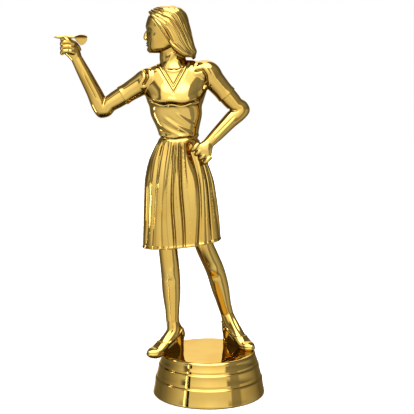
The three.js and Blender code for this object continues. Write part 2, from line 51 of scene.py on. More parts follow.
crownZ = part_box("head")[1][2] * 1000

figure = {
    "legs": 42.0,       # from the base's top to the hem
    "skirt": 40.3,      # from the hem to the waist
    "blouse": 27.4,     # from the waist to the collar
    "face": 16.7,       # from the chin to the crown
    "middle": -12.5,    # the body's middle, left of the base's axis
    "hemTilt": 6.0,
}
hemZ = topZ + figure["legs"]
waistZ = hemZ + figure["skirt"]
collarZ = waistZ + figure["blouse"]
chinZ = crownZ - figure["face"]
bodyX = figure["middle"]
hemTilt = math.radians(figure["hemTilt"])


def place(points):
    # from millimetres about the base's axis to metres in the part's frame
    return (np.asarray(points, float) + [axisX, 0, 0]) * 0.001


def bell(distance, width):
    # a smooth bump: 1 at the middle, falling as a Gaussian of distance over width
    return np.exp(-((distance / width) ** 2))


def step(value, low, high):
    # rises from 0 at low to 1 at high with level ends
    share = np.clip((value - low) / (high - low), 0, 1)
    return share * share * (3 - 2 * share)


def throughPoints(rows, t):
    # smooth curve through the rows: cubic between neighbours, each slope half the step across them
    rows = np.asarray(rows, float)
    padded = np.vstack([2 * rows[0] - rows[1], rows, 2 * rows[-1] - rows[-2]])
    i = np.clip(t.astype(int), 0, len(rows) - 2)
    w = (t - i)[:, None]
    a, b, c, d = padded[i], padded[i + 1], padded[i + 2], padded[i + 3]
    bend = (2 * a - 5 * b + 4 * c - d) * w ** 2
    return 0.5 * (2 * b + (c - a) * w + bend + (3 * b - a - 3 * c + d) * w ** 3)


def carried(rows, facing=(0, -1, 0), count=60, around=48, upright=False):
    # sections carried along a smooth curve, square to it or kept level;
    # a row is x, y, z, half width, depth in front, depth behind
    rows = np.array([list(row) + [row[4]] * (6 - len(row)) for row in rows], float)
    s = throughPoints(rows, np.linspace(0, len(rows) - 1, count))
    centre = s[:, :3]
    up = -np.gradient(centre, axis=0)
    up = up * 0 + [0, 0, 1] if upright else up / np.linalg.norm(up, axis=1, keepdims=True)
    facing = np.array(facing, float)
    depth = facing - up * (up @ facing)[:, None]
    depth /= np.linalg.norm(depth, axis=1, keepdims=True)
    side = np.cross(up, depth)
    angle = np.linspace(0, 2 * np.pi, around, endpoint=False)
    reach = np.where(np.cos(angle) > 0, s[:, 4:5], s[:, 5:6]) * np.cos(angle)
    wide = s[:, 3:4] * np.sin(angle)
    return centre[:, None] + side[:, None] * wide[..., None] + depth[:, None] * reach[..., None]


def ringFaces(rings, around):
    # four-sided faces of a grid of rings, each ring closing on itself
    i = np.arange(rings - 1)[:, None] * around
    j = np.arange(around)[None]
    k = (j + 1) % around
    return np.stack([i + j, i + around + j, i + around + k, i + k], axis=-1).reshape(-1, 4)


def closedGrid(grid):
    # a grid's points with a pole at the middle of each end ring, and its faces
    rings, around = grid.shape[:2]
    points = np.vstack([grid.reshape(-1, 3), grid[0].mean(0), grid[-1].mean(0)])
    j = np.arange(around)
    k, end = (j + 1) % around, (rings - 1) * around
    top = np.stack([np.full(around, rings * around), j, k], axis=-1)
    bottom = np.stack([np.full(around, rings * around + 1), end + k, end + j], axis=-1)
    return points, ringFaces(rings, around), np.vstack([top, bottom])


def makeMesh(name, points, quads, triangles=()):
    mesh = bpy.data.meshes.new(name)
    mesh.vertices.add(len(points))
    mesh.vertices.foreach_set("co", place(points).ravel())
    loops = np.concatenate([np.ravel(quads), np.ravel(triangles)]).astype(np.int32)
    sizes = np.concatenate([np.full(len(quads), 4), np.full(len(triangles), 3)])
    mesh.loops.add(len(loops))
    mesh.loops.foreach_set("vertex_index", loops)
    mesh.polygons.add(len(sizes))
    mesh.polygons.foreach_set("loop_start", (np.cumsum(sizes) - sizes).astype(np.int32))
    mesh.polygons.foreach_set("use_smooth", np.ones(len(sizes), bool))
    mesh.update(calc_edges=True)
    piece = bpy.data.objects.new(name, mesh)
    bpy.context.scene.collection.objects.link(piece)
    return piece


def fromGrids(name, grids):
    # several closed grids in one object
    points, quads, triangles, count = [], [], [], 0
    for grid in grids:
        p, q, t = closedGrid(grid)
        points.append(p)
        quads.append(q + count)
        triangles.append(t + count)
        count += len(p)
    return makeMesh(name, np.vstack(points), np.vstack(quads), np.vstack(triangles))


def applied(piece):
    # the piece's modifiers made part of its mesh
    graph = bpy.context.evaluated_depsgraph_get()
    mesh = bpy.data.meshes.new_from_object(piece.evaluated_get(graph))
    piece.modifiers.clear()
    old = piece.data
    piece.data = mesh
    mesh.name = piece.name
    bpy.data.meshes.remove(old)
    return piece


def fused(name, grids, shape):
    # closed grids melted into one skin: a voxel remesh, then smoothing that rounds the joins
    piece = fromGrids(name, grids)
    remesh = piece.modifiers.new("oneSkin", "REMESH")
    remesh.mode = "VOXEL"
    remesh.voxel_size = shape["cell"] * 0.001
    remesh.use_smooth_shade = True
    smooth = piece.modifiers.new("softJoins", "SMOOTH")
    smooth.factor = 0.5
    smooth.iterations = shape["smoothing"]
    return applied(piece)


def read(items, name):
    values = np.empty(len(items) * 3)
    items.foreach_get(name, values)
    return values.reshape(-1, 3)


def unplace(points):
    # back from metres in the part's frame to millimetres about the base's axis
    return points * 1000 - [axisX, 0, 0]


def movePoints(piece, points):
    piece.data.vertices.foreach_set("co", place(points).ravel())
    piece.data.update()


def pushed(piece, height):
    # moves every point along its normal by height(points, normals), in millimetres
    points, normals = unplace(read(piece.data.vertices, "co")), read(piece.data.vertices, "normal")
    movePoints(piece, points + normals * height(points, normals)[:, None])
    return piece


def bumps(points, rows):
    # round bumps on both sides of y = 0; a row is its x, y, z, its spread on each axis and its height
    total = np.zeros(len(points))
    for row in rows:
        for side in (1, -1) if row[1] else (1,):
            off = (points - np.array([row[0], side * row[1], row[2]])) / np.array(row[3:6])
            total += row[6] * np.exp(-(off ** 2).sum(axis=1))
    return total


def cut(piece, point, normal, recess=None):
    # keeps what lies behind the plane; recess is a wall and a depth to hollow the cut face by
    work = bmesh.new()
    work.from_mesh(piece.data)
    everything = work.verts[:] + work.edges[:] + work.faces[:]
    found = bmesh.ops.bisect_plane(work, geom=everything, plane_co=place(point), plane_no=normal,
                                   clear_outer=True)
    edges = [item for item in found["geom_cut"] if isinstance(item, bmesh.types.BMEdge)]
    if recess:
        wall, depth = recess
        middle = np.mean([vert.co for edge in edges for vert in edge.verts], axis=0)
        for inward, deeper in ((wall, 0.0), (0.0, depth)):
            made = bmesh.ops.extrude_edge_only(work, edges=edges)["geom"]
            edges = [item for item in made if isinstance(item, bmesh.types.BMEdge)]
            for vert in {vert for edge in edges for vert in edge.verts}:
                away = np.array(vert.co) - middle
                shift = -away / np.linalg.norm(away) * inward - np.array(normal) * deeper
                vert.co = (np.array(vert.co) + shift * 0.001).tolist()
        bmesh.ops.recalc_face_normals(work, faces=work.faces[:])
    bmesh.ops.holes_fill(work, edges=edges, sides=0)
    work.to_mesh(piece.data)
    work.free()
    for face in piece.data.polygons:
        face.use_smooth = len(face.vertices) < 12
    piece.data.update()
    return piece


def lineDistance(x, z, ax, az, bx, bz):
    # signed distance across a line in the front view, and the share of its length
    dx, dz = bx - ax, bz - az
    length = math.hypot(dx, dz)
    across = ((x - ax) * dz - (z - az) * dx) / length
    share = ((x - ax) * dx + (z - az) * dz) / length ** 2
    return across, share


def toLine(x, z, line):
    # distance to a run of straight pieces in the front view, negative on its lower left
    best = np.full(len(x), 1e9)
    signed = np.zeros(len(x))
    for (ax, az), (bx, bz) in zip(line[:-1], line[1:]):
        dx, dz = bx - ax, bz - az
        share = np.clip(((x - ax) * dx + (z - az) * dz) / (dx * dx + dz * dz), 0, 1)
        away = np.hypot(x - ax - share * dx, z - az - share * dz)
        sign = np.sign((z - az) * dx - (x - ax) * dz)
        nearer = away < best
        best = np.where(nearer, away, best)
        signed = np.where(nearer, away * sign, signed)
    return signed


def newGroup(name, inputs, outName, outKind):
    # a node group that takes a vector and the named inputs: a number or a colour each
    group = bpy.data.node_groups.new(name, "ShaderNodeTree")
    group.interface.new_socket(name="Vector", in_out="INPUT", socket_type="NodeSocketVector")
    for label, value in inputs.items():
        kind = "Color" if isinstance(value, tuple) else "Float"
        made = group.interface.new_socket(name=label, in_out="INPUT", socket_type="NodeSocket" + kind)
        made.default_value = value
    group.interface.new_socket(name=outName, in_out="OUTPUT", socket_type="NodeSocket" + outKind)
    nodes, links = group.nodes, group.links
    start, out = nodes.new("NodeGroupInput"), nodes.new("NodeGroupOutput")
    return group, nodes, links, start.outputs, out.inputs[outName]


def noise(nodes, links, vector, scale, detail=3.0, rough=0.5):
    made = nodes.new("ShaderNodeTexNoise")
    setValues(made, {"Detail": detail, "Roughness": rough})
    feed(links, made.inputs["Scale"], scale)
    links.new(vector, made.inputs["Vector"])
    return made.outputs["Fac"]


def feed(links, place, value):
    # a socket takes either a plain value or another node's output
    if isinstance(value, bpy.types.NodeSocket):
        links.new(value, place)
    else:
        place.default_value = value


def setValues(node, values):
    for name, value in values.items():
        node.inputs[name].default_value = value


def calc(nodes, links, operation, *values):
    made = nodes.new("ShaderNodeMath")
    made.operation = operation
    for place, value in zip(made.inputs, values):
        feed(links, place, value)
    return made.outputs[0]


def spread(nodes, links, value, low, high, outLow=0.0, outHigh=1.0):
    made = nodes.new("ShaderNodeMapRange")
    setValues(made, {"From Min": low, "From Max": high, "To Min": outLow, "To Max": outHigh})
    links.new(value, made.inputs["Value"])
    return made.outputs["Result"]


def mixed(nodes, links, share, first, second, colours=False):
    made = nodes.new("ShaderNodeMix")
    made.data_type = "RGBA" if colours else "FLOAT"
    start = 6 if colours else 2
    for place, value in ((0, share), (start, first), (start + 1, second)):
        feed(links, made.inputs[place], value)
    return made.outputs[2 if colours else 0]


def makeFilmTint():
    # gold lacquer over bright metal: it pools a little redder in broad cloudy patches
    values = {"Thin": (0.93, 0.72, 0.33, 1), "Pooled": (0.85, 0.58, 0.2, 1), "Patch Size": 90.0}
    group, nodes, links, given, out = newGroup("filmTint", values, "Color", "Color")
    cloud = noise(nodes, links, given["Vector"], given["Patch Size"], 2.0)
    share = spread(nodes, links, cloud, 0.35, 0.7)
    links.new(mixed(nodes, links, share, given["Thin"], given["Pooled"], colours=True), out)
    return group


def makeMouldedSkin():
    # height of a moulded skin under film: slow ripple from the mould and a fine orange peel
    group, nodes, links, given, out = newGroup("mouldedSkin", {"Ripple": 0.5, "Peel": 0.2}, "Height", "Float")
    slow = noise(nodes, links, given["Vector"], 260.0, 2.0)
    fine = noise(nodes, links, given["Vector"], 1500.0, 2.0)
    ripple = calc(nodes, links, "MULTIPLY", slow, given["Ripple"])
    links.new(calc(nodes, links, "MULTIPLY_ADD", fine, given["Peel"], ripple), out)
    return group


def makeHandling():
    # roughness of a handled bright surface: clean film with smeared patches
    values = {"Clean": 0.05, "Smudged": 0.16}
    group, nodes, links, given, out = newGroup("handling", values, "Roughness", "Float")
    smear = spread(nodes, links, noise(nodes, links, given["Vector"], 140.0, 5.0, 0.62), 0.5, 0.75)
    links.new(mixed(nodes, links, smear, given["Clean"], given["Smudged"]), out)
    return group


filmTint = makeFilmTint()
mouldedSkin = makeMouldedSkin()
handling = makeHandling()


def startMaterial(name):
    material = bpy.data.materials.new(name)
    material.use_nodes = True
    nodes, links = material.node_tree.nodes, material.node_tree.links
    where = nodes.new("ShaderNodeTexCoord").outputs["Object"]
    return material, nodes, links, nodes["Principled BSDF"], where


def useGroup(nodes, links, group, where, values):
    made = nodes.new("ShaderNodeGroup")
    made.node_tree = group
    links.new(where, made.inputs["Vector"])
    setValues(made, values)
    return made.outputs[0]


def makeSurface(name, look):
    # tint, handling and skin laid over one shader, with the look's values
    material, nodes, links, shader, where = startMaterial(name)
    tint = {"Thin": look["thin"], "Pooled": look["pooled"], "Patch Size": look.get("patch", 90.0)}
    touch = {"Clean": look["clean"], "Smudged": look["smudged"]}
    skin = {"Ripple": look["ripple"], "Peel": look["peel"]}
    links.new(useGroup(nodes, links, filmTint, where, tint), shader.inputs["Base Color"])
    links.new(useGroup(nodes, links, handling, where, touch), shader.inputs["Roughness"])
    bump = nodes.new("ShaderNodeBump")
    setValues(bump, {"Strength": look["bump"], "Distance": look["relief"]})
    links.new(useGroup(nodes, links, mouldedSkin, where, skin), bump.inputs["Height"])
    links.new(bump.outputs["Normal"], shader.inputs["Normal"])
    if "bareMetal" in look:
        # overspray thins out in patches
        patches = spread(nodes, links, noise(nodes, links, where, 70.0), 0.4, 0.65, *look["bareMetal"])
        links.new(patches, shader.inputs["Metallic"])
    else:
        shader.inputs["Metallic"].default_value = 1.0
    if "edge" in look:
        setValues(shader, {"Specular Tint": look["edge"], "Coat Weight": look["coat"],
                           "Coat Roughness": look["coatRoughness"]})
    return material


# vacuum-metallised plastic: a mirror film under a gold lacquer
gold = makeSurface("goldFilm", {
    "thin": (0.96, 0.655, 0.165, 1),
    "pooled": (0.91, 0.565, 0.115, 1),
    "edge": (1.0, 0.82, 0.55, 1),
    "coat": 0.1,
    "coatRoughness": 0.04,
    "clean": 0.03,
    "smudged": 0.09,
    "ripple": 0.5,
    "peel": 0.12,
    "bump": 0.2,
    "relief": 0.0002,
})
# the inside of the base: overspray over dull yellow plastic
rawMoulding = makeSurface("rawMoulding", {
    "thin": (0.62, 0.5, 0.3, 1),
    "pooled": (0.42, 0.33, 0.2, 1),
    "bareMetal": (0.25, 0.7),
    "clean": 0.42,
    "smudged": 0.62,
    "ripple": 0.6,
    "peel": 0.5,
    "bump": 0.4,
    "relief": 0.0002,
})
# plated steel: a faint bloom and a fine tumbled grain
steelLook = {"patch": 400.0, "ripple": 0.2, "peel": 0.9, "bump": 0.35, "relief": 0.0001}
zincSteel = makeSurface("zincSteel", steelLook | {
    "thin": (0.66, 0.68, 0.7, 1), "pooled": (0.6, 0.58, 0.5, 1), "clean": 0.22, "smudged": 0.38})
springSteel = makeSurface("springSteel", steelLook | {
    "thin": (0.3, 0.31, 0.33, 1), "pooled": (0.22, 0.2, 0.2, 1), "clean": 0.3, "smudged": 0.5})
print("materials ready")


def finish(piece, node, material):
    piece.data.materials.clear()
    piece.data.materials.append(material)
    if node:
        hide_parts(node)
    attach(piece, "root")
    print("made", piece.name, len(piece.data.polygons), "faces")


base = {
    "steps": [7.0, 5.2, 4.4],
    "setback": 1.35,
    "flare": 0.85,
    "edge": 0.7,
    "topBead": 1.2,
    "cove": 0.35,
    "wall": 1.8,
    "topWall": 2.0,
    "bossRadius": 8.6,
    "bossLift": 1.5,
    "seatRadius": 6.9,
    "seatDepth": 1.35,
    "nutFlats": 10.6,
    "nutTop": 8.3,
    "studRadius": 3.4,
    "studTop": 12.2,
    "pole": 0.05,
    "rib": 1.3,
    "ribBite": 0.3,
}


def arc(cx, cz, radius, start, end, count=10):
    angle = np.radians(np.linspace(start, end, count))
    return np.stack([cx + radius * np.cos(angle), cz + radius * np.sin(angle)], axis=-1)


def spun(profile, around=240, radiusAt=None):
    # a profile of radius and height carried round the axis; radiusAt may change the radius with the angle
    angle = np.linspace(0, 2 * np.pi, around, endpoint=False)[None]
    radius, height = profile[:, :1], profile[:, 1:]
    radius = radius + 0 * angle if radiusAt is None else radiusAt(radius, height, angle)
    return np.stack([radius * np.cos(angle), radius * np.sin(angle), height + 0 * angle], axis=-1)


def stepRadius(index):
    return baseRadius - index * base["setback"] - base["flare"]


def makeBase():
    b = base
    tops = topZ - sum(b["steps"]) + np.cumsum(b["steps"])
    outside = [arc(baseRadius - b["edge"], b["edge"], b["edge"], -90, 0)]
    for index, height in enumerate(tops):
        radius = stepRadius(index)
        bead = b["topBead"] if index == 2 else b["edge"]
        # the wall flares as it goes down: half of it evenly, half by the square of the way down
        way = np.linspace(0.92, 0.08, 9)
        foot = height - b["steps"][index] + (b["edge"] if index == 0 else 2 * b["cove"])
        wall = [radius + b["flare"] * (0.5 * way + 0.5 * way ** 2),
                height - bead - way * (height - bead - foot)]
        outside += [np.stack(wall, axis=-1), arc(radius - bead, height - bead, bead, 0, 90, 14)]
        if index < 2:
            inner = baseRadius - (index + 1) * b["setback"]
            outside.append(arc(inner + b["cove"] * 0.6, height + b["cove"], b["cove"], 250, 180, 6))
    inside = [stepRadius(index) - b["wall"] for index in range(3)]
    seat = b["bossLift"] + b["seatDepth"]
    hollow = [
        [inside[0], 0], [inside[0], tops[0] - b["wall"]], [inside[1], tops[0] - b["wall"]],
        [inside[1], tops[1] - b["wall"]], [inside[2], tops[1] - b["wall"]], [inside[2], topZ - b["topWall"]],
        [b["bossRadius"], topZ - b["topWall"]], [b["bossRadius"], b["bossLift"]],
        [b["seatRadius"], b["bossLift"]], [b["seatRadius"], seat],
    ]
    crisp = np.repeat(np.array(hollow), 2, axis=0) + np.tile([[0.0, 0.0], [1e-3, 0.0]], (len(hollow), 1))
    pocket = [[b["nutFlats"] / 2, seat], [b["nutFlats"] / 2, b["nutTop"]]]
    stud = [[b["studRadius"], b["nutTop"]], [b["studRadius"], b["studTop"]], [b["pole"], b["studTop"]]]
    roof = [[radius, topZ] for radius in (b["pole"], 4.0, 12.0)]
    profile = np.vstack([roof, np.vstack(outside)[::-1], crisp, pocket, stud])
    row = np.arange(len(profile))[:, None]
    hexRows = (row >= len(profile) - 5) & (row < len(profile) - 3)

    def hexPocket(radius, height, angle):
        # distance to a flat grows as one over the cosine of the angle from the flat's middle
        off = (angle + np.pi / 6) % (np.pi / 3) - np.pi / 6
        return np.where(hexRows, radius / np.cos(off), radius + 0 * angle)

    return sharpen(fromGrids("stepped_base", [spun(profile, radiusAt=hexPocket)]), 40)


def sharpen(piece, degrees):
    # edges turned more than this are creased, the rest shade smoothly
    work = bmesh.new()
    work.from_mesh(piece.data)
    for edge in work.edges:
        edge.smooth = len(edge.link_faces) != 2 or edge.calc_face_angle() < math.radians(degrees)
    work.to_mesh(piece.data)
    work.free()
    return piece


def bareInside(piece):
    # the faces inside the shell keep the raw plastic
    piece.data.materials.append(rawMoulding)
    centres = unplace(read(piece.data.polygons, "center"))
    shellRadius = baseRadius - base["wall"] - 0.2 - 0.144 * centres[:, 2]
    inside = (np.hypot(centres[:, 0], centres[:, 1]) < shellRadius) & (centres[:, 2] < topZ - 1.0)
    piece.data.polygons.foreach_set("material_index", inside.astype(np.int32))


stepped = makeBase()
finish(stepped, "base", gold)
bareInside(stepped)


def makeRibs():
    # four plain ribs from the boss to the wall, as flat boxes with softened edges
    b = base
    start = b["bossRadius"] - b["ribBite"]
    end = stepRadius(2) - b["wall"] + b["ribBite"]
    low, high = 2 * b["bossLift"], topZ - b["topWall"] + 0.5
    grids = []
    for quarter in np.radians([45, 135, 225, 315]):
        out = np.array([math.cos(quarter), math.sin(quarter), 0])
        sideways = np.array([-out[1], out[0], 0]) * b["rib"] / 2
        ring = [sideways * u + [0, 0, z] for u, z in ((-1, low), (-1, high), (1, high), (1, low))]
        grids.append(np.array([[out * radius + corner for corner in ring] for radius in (start, end)]))
    piece = fromGrids("base_ribs", grids)
    bevel = piece.modifiers.new("softEdges", "BEVEL")
    bevel.width = 0.0002
    bevel.segments = 2
    return sharpen(applied(piece), 30)


finish(makeRibs(), None, rawMoulding)


nutShape = {"flats": 10.0, "low": 3.0, "thick": 5.0, "bore": 5.1, "pitch": 1.0, "thread": 0.42, "cone": 1.9}


def makeNut():
    n = nutShape
    high = n["low"] + n["thick"]
    corner = n["flats"] / 2 / math.cos(math.pi / 6)
    outer = np.array([[corner, z] for z in np.linspace(high, n["low"], 15)])
    inner = np.array([[n["bore"] / 2, z] for z in np.linspace(n["low"], high, 61)])

    def shape(radius, height, angle):
        # outside: the hexagon, trimmed by a cone at each end; inside: a thread as a wave that climbs
        flat = n["flats"] / 2 / np.cos(angle % (np.pi / 3) - np.pi / 6)
        endGap = np.minimum(height - n["low"], high - height)
        cone = n["flats"] / 2 - 0.05 + np.maximum(endGap, 0) * n["cone"]
        turn = (height / n["pitch"] + angle / (2 * np.pi)) % 1.0
        ridge = n["bore"] / 2 + n["thread"] * (1 - np.abs(2 * turn - 1)) * np.clip(endGap / 0.4, 0, 1)
        return np.where(radius > n["bore"], np.minimum(flat, cone), ridge)

    grid = spun(np.vstack([outer, inner, outer[:1]]), 144, shape)
    faces = ringFaces(*grid.shape[:2])
    piece = makeMesh("captive_nut", grid.reshape(-1, 3), faces)
    weld = piece.modifiers.new("closeRing", "WELD")
    weld.merge_threshold = 0.00001
    return sharpen(applied(piece), 25)


finish(makeNut(), "nut", zincSteel)


dress = {
    "cell": 0.23,
    "smoothing": 9,
    "shoulder": 12.6,
    "waist": 7.4,
    "bust": 9.0,
    "hem": 14.7,
    "depth": 10.0,
    "sleeveRadius": 3.8,
    "sleeveLength": 11.6,
    "seamGap": 0.12,
    "pleats": 0.85,
    "pleatCount": 17,
    "bellyFolds": 0.32,
    "collarHeight": 0.18,
    "bustCrease": [waistZ + 12.9, 1.3],
    "bustRound": 0.45,
    "hemRoll": 0.28,
    "armholeRaised": [[-27.2, 4.0], [-24.6, 4.1], [-22.9, 2.6], [-22.7, 0.6], [-23.9, -1.6]],
    "armholeAkimbo": [[-4.6, 3.2], [-2.2, 3.6], [-1.0, 1.6], [-0.9, -1.0], [-1.8, -3.2]],
}

# an arm: its shoulder, the way and length of its upper and lower part, and how far each sinks back
shoulderZ = collarZ - 5.6
raised = {
    "shoulder": [bodyX - 9.8, -0.4, shoulderZ - 0.2],
    "upper": {"way": 211.5, "length": 20.2, "sink": -0.8},
    "lower": {"way": 116.5, "length": 20.6, "sink": -1.0},
}
akimbo = {
    "shoulder": [bodyX + 11.7, 0, shoulderZ + 2.6],
    "upper": {"way": -48.9, "length": 18.9, "sink": 0.8},
    "lower": {"way": 225.2, "length": 16.8, "sink": -5.2},
}


def limbEnd(start, part):
    # where a part of the limb ends: its length along its way in the front view, and sunk back a little
    way = math.radians(part["way"])
    return start + [part["length"] * math.cos(way), part["sink"], part["length"] * math.sin(way)]


for arm in (raised, akimbo):
    arm["shoulder"] = np.array(arm["shoulder"], float)
    arm["elbow"] = limbEnd(arm["shoulder"], arm["upper"])
    arm["wrist"] = limbEnd(arm["elbow"], arm["lower"])
    arm["line"] = arm["elbow"] - arm["shoulder"]
    arm["line"] = arm["line"] / np.linalg.norm(arm["line"])
    arm["sleeveEnd"] = arm["shoulder"] + arm["line"] * dress["sleeveLength"]


def dressRows():
    d = dress
    skirt = lambda share: hemZ + (waistZ - hemZ) * share
    bodice = lambda share: waistZ + (collarZ - waistZ) * share
    hip = lambda share: bodyX + 2.3 * share
    return [
        [bodyX - 0.2, 0, collarZ + 0.9, 4.6, 3.6, 4.6],
        [bodyX, 0, collarZ, 6.4, 4.3, 5.3],
        [bodyX + 0.2, 0, collarZ - 1.4, 9.6, 5.0, 5.7],
        [bodyX + 0.1, 0, collarZ - 3.4, d["shoulder"], 5.6, 6.2],
        [bodyX, 0, bodice(0.75), d["shoulder"] - 0.1, 7.0, 6.8],
        [bodyX, 0, bodice(0.62), d["shoulder"] - 1.0, d["bust"] - 0.5, 6.8],
        [bodyX, 0, bodice(0.54), d["shoulder"] - 1.7, d["bust"], 6.6],
        [bodyX, 0, bodice(0.48), d["shoulder"] - 2.2, d["bust"] - 1.0, 6.3],
        [bodyX + 0.1, 0, bodice(0.42), d["shoulder"] - 2.8, 7.0, 6.1],
        [bodyX + 0.4, 0, bodice(0.3), d["waist"] + 2.1, 6.5, 5.8],
        [bodyX + 1.0, 0, bodice(0.12), d["waist"] + 0.5, 6.1, 5.5],
        [bodyX + 1.3, 0, waistZ, d["waist"], 6.0, 5.6],
        [hip(0.45), 0, skirt(0.87), d["waist"] + 2.0, 6.9, 6.9],
        [hip(0.4), 0, skirt(0.77), d["waist"] + 3.5, 7.7, 8.0],
        [hip(0.6), 0, skirt(0.6), d["hem"] - 1.9, 8.6, d["depth"] - 0.6],
        [hip(0.8), 0, skirt(0.4), d["hem"] - 1.0, 9.2, d["depth"] - 0.2],
        [hip(0.95), 0, skirt(0.2), d["hem"] - 0.4, 9.6, d["depth"]],
        [hip(1), 0, skirt(0), d["hem"], d["depth"], d["depth"] + 0.2],
        [hip(1), 0, hemZ - 6, d["hem"] + 0.1, d["depth"], d["depth"] + 0.3],
    ]


def sleeveGrid(arm):
    r = dress["sleeveRadius"]
    end = arm["sleeveEnd"]
    root = arm["shoulder"] * 0.5 + np.array([bodyX, 0, shoulderZ]) * 0.5
    cap = arm["shoulder"] * 0.65 + end * 0.35
    rows = [
        [*root, r + 0.5, r + 0.9],
        [*arm["shoulder"], r + 0.5, r + 0.7],
        [*cap, r + 0.25, r + 0.4],
        [*(end - arm["line"] * 2.5), r - 0.15, r - 0.05],
        [*end, r, r],
    ]
    return carried(rows, count=50, around=64)


def dressRelief(points, normals):
    # heights of collar band, folds and pleats over the dress, in millimetres along the normal
    d = dress
    x, y, z = points.T
    toFront = step(-normals[:, 1], 0.05, 0.45)
    height = np.zeros(len(points))

    # open collar: a band along each side of the V and a fine crew line inside it
    bottomX, bottomZ, top = bodyX - 0.5, collarZ - 7.7, collarZ + 1.0
    left = -lineDistance(x, z, bodyX - 6.0, top, bottomX, bottomZ)[0]
    right = lineDistance(x, z, bodyX + 4.4, top, bottomX, bottomZ)[0]
    out = -np.minimum(left, right)
    band = d["collarHeight"] * bell(out - 0.65, 0.45)
    height += toFront * (band - 0.42 * bell(out, 0.27) - 0.36 * bell(out - 1.3, 0.25))
    crewZ = collarZ - 2.6 + 0.09 * (x - bottomX) ** 2
    insideV = step(z, bottomZ + 1.5, bottomZ + 3.0) * (np.abs(x - bottomX) < 4.6)
    height += toFront * insideV * d["collarHeight"] * bell(z - crewZ, 0.35)

    # under the bust the blouse turns in sharply and runs straight across
    creaseZ, creaseDepth = d["bustCrease"]
    crease = creaseZ + 0.3 * np.sin(x * 0.8) + 0.012 * (x - bodyX) ** 2
    span = step(x, bodyX - 10.0, bodyX - 7.8) * (1 - step(x, bodyX + 7.0, bodyX + 9.2))
    height += toFront * span * (0.5 * bell(z - crease - 1.3, 0.85) - creaseDepth * bell(z - crease, 0.3))
    for side in (-4.6, 4.6):
        height += toFront * d["bustRound"] * bell(np.hypot(x - bodyX - side, z - crease - 3.4), 3.0)

    # folds drawn down across the waist towards the hip
    folds = [(-17.5, 107.6, -6.0, 100.4, 1.0, 0.62), (-18.6, 104.6, -9.0, 99.6, 0.8, 0.5),
             (-13.4, 109.6, -4.0, 103.0, 0.7, 0.6), (-20.3, 102.6, -14.5, 99.2, 0.75, 0.45)]
    for ax, az, bx, bz, strong, wide in folds:
        bow = 0.5 * np.sin(np.pi * np.clip((x - ax) / (bx - ax), 0, 1))
        across, share = lineDistance(x, z + bow, ax, az, bx, bz)
        fade = step(share, -0.05, 0.25) * (1 - step(share, 0.8, 1.08))
        fold = bell(across, wide) - 0.7 * bell(across + 1.2, wide)
        height += d["bellyFolds"] * strong * toFront * fade * fold

    # the armholes: a deep curved fold at each shoulder, with a softer one beside it
    for fold, strong in ((d["armholeRaised"], 1.0), (d["armholeAkimbo"], 0.85)):
        line = np.array(fold) + [0, shoulderZ]
        away = np.abs(toLine(x, z, line))
        height += toFront * strong * (0.25 * bell(away - 1.2, 0.7) - 1.15 * bell(away, 0.32))

    # each sleeve's open end is sunk round the bare arm
    for arm in (raised, akimbo):
        reach = (points - arm["shoulder"]) @ arm["line"]
        off = points - arm["shoulder"] - reach[:, None] * arm["line"]
        radial = np.linalg.norm(off, axis=1)
        ending = step(normals @ arm["line"], 0.5, 0.8) * (reach > 10.5) * (radial < 5)
        height -= 0.9 * ending * (1 - step(radial, 3.3, 3.6))

    # the waist seam all round, and the gathers below it
    seam = waistZ + 0.25 * np.sin(x * 0.6)
    height += -0.45 * bell(z - seam, 0.5) + 0.22 * bell(z - seam - 1.1, 0.6)
    # the skirt's hem is rolled to a fine round edge
    hem = hemZ + math.tan(hemTilt) * (x - bodyX - 2)
    height += d["hemRoll"] * bell(z - hem - 0.45, 0.4)
    return height + pleatRelief(x, y, z)


def pleatRelief(x, y, z):
    # pleats run down from the waist: a wave of the angle round the skirt, sharper near the gathers
    below = np.clip((waistZ - z) / (waistZ - hemZ), 0, 1.1)
    turn = np.arctan2(x - (bodyX + 1.3 + 0.8 * below), -y * 1.35)
    drift = 0.10 * np.sin(3.1 * turn + 1.3) + 0.05 * np.sin(7 * turn) + 0.05 * np.sin(below * 5 + turn * 4)
    wave = dress["pleatCount"] * (turn + drift)
    lean = (wave / (2 * np.pi)) % 1.0
    crest = 1.15 * bell(lean - 0.5, 0.115) + 0.55 * np.where(lean < 0.5, lean, 1 - lean) + 0.35 * (lean - 0.5)
    finer = np.sin(wave * 2.1 + 4 * below + 1.0)
    gather = step(below, 0.01, 0.08)
    depth = dress["pleats"] * (1.25 - 0.45 * below) * gather
    uneven = 0.75 + 0.35 * np.sin(2.3 * turn + 0.5) + 0.2 * np.sin(5.7 * turn + below * 3)
    fineDepth = 0.13 * gather * (1 - step(below, 0.25, 0.6))
    hemEase = 1 - 0.45 * step(below, 0.93, 1.0)
    return (z < waistZ + 0.2) * (-depth * uneven * crest * hemEase + fineDepth * finer + 0.1 * gather)


def hemPlane(lift=0.0):
    tilt = np.array([-math.sin(hemTilt), 0, math.cos(hemTilt)])
    return np.array([bodyX + 2, 0, hemZ]) + tilt * lift, tilt


def makeDress():
    # bodice and skirt in one, the slope from the neck to the further shoulder, and the sleeves
    slope = carried([[bodyX - 1, 0.3, collarZ - 2.6, 3.4, 3.8], [bodyX + 3, 0.2, collarZ - 2.2, 3.6, 4.0],
                     [bodyX + 7.5, 0, collarZ - 2.4, 3.5, 4.0], [bodyX + 11.5, 0, collarZ - 3.6, 3.6, 4.0]],
                    count=60, around=60)
    grids = [carried(dressRows(), count=260, around=200, upright=True), slope, sleeveGrid(raised),
             sleeveGrid(akimbo)]
    whole = fused("dress", grids, dress)
    pushed(whole, dressRelief)
    point, tilt = hemPlane()
    cut(whole, point, -tilt, recess=(1.4, 3.2))
    return whole


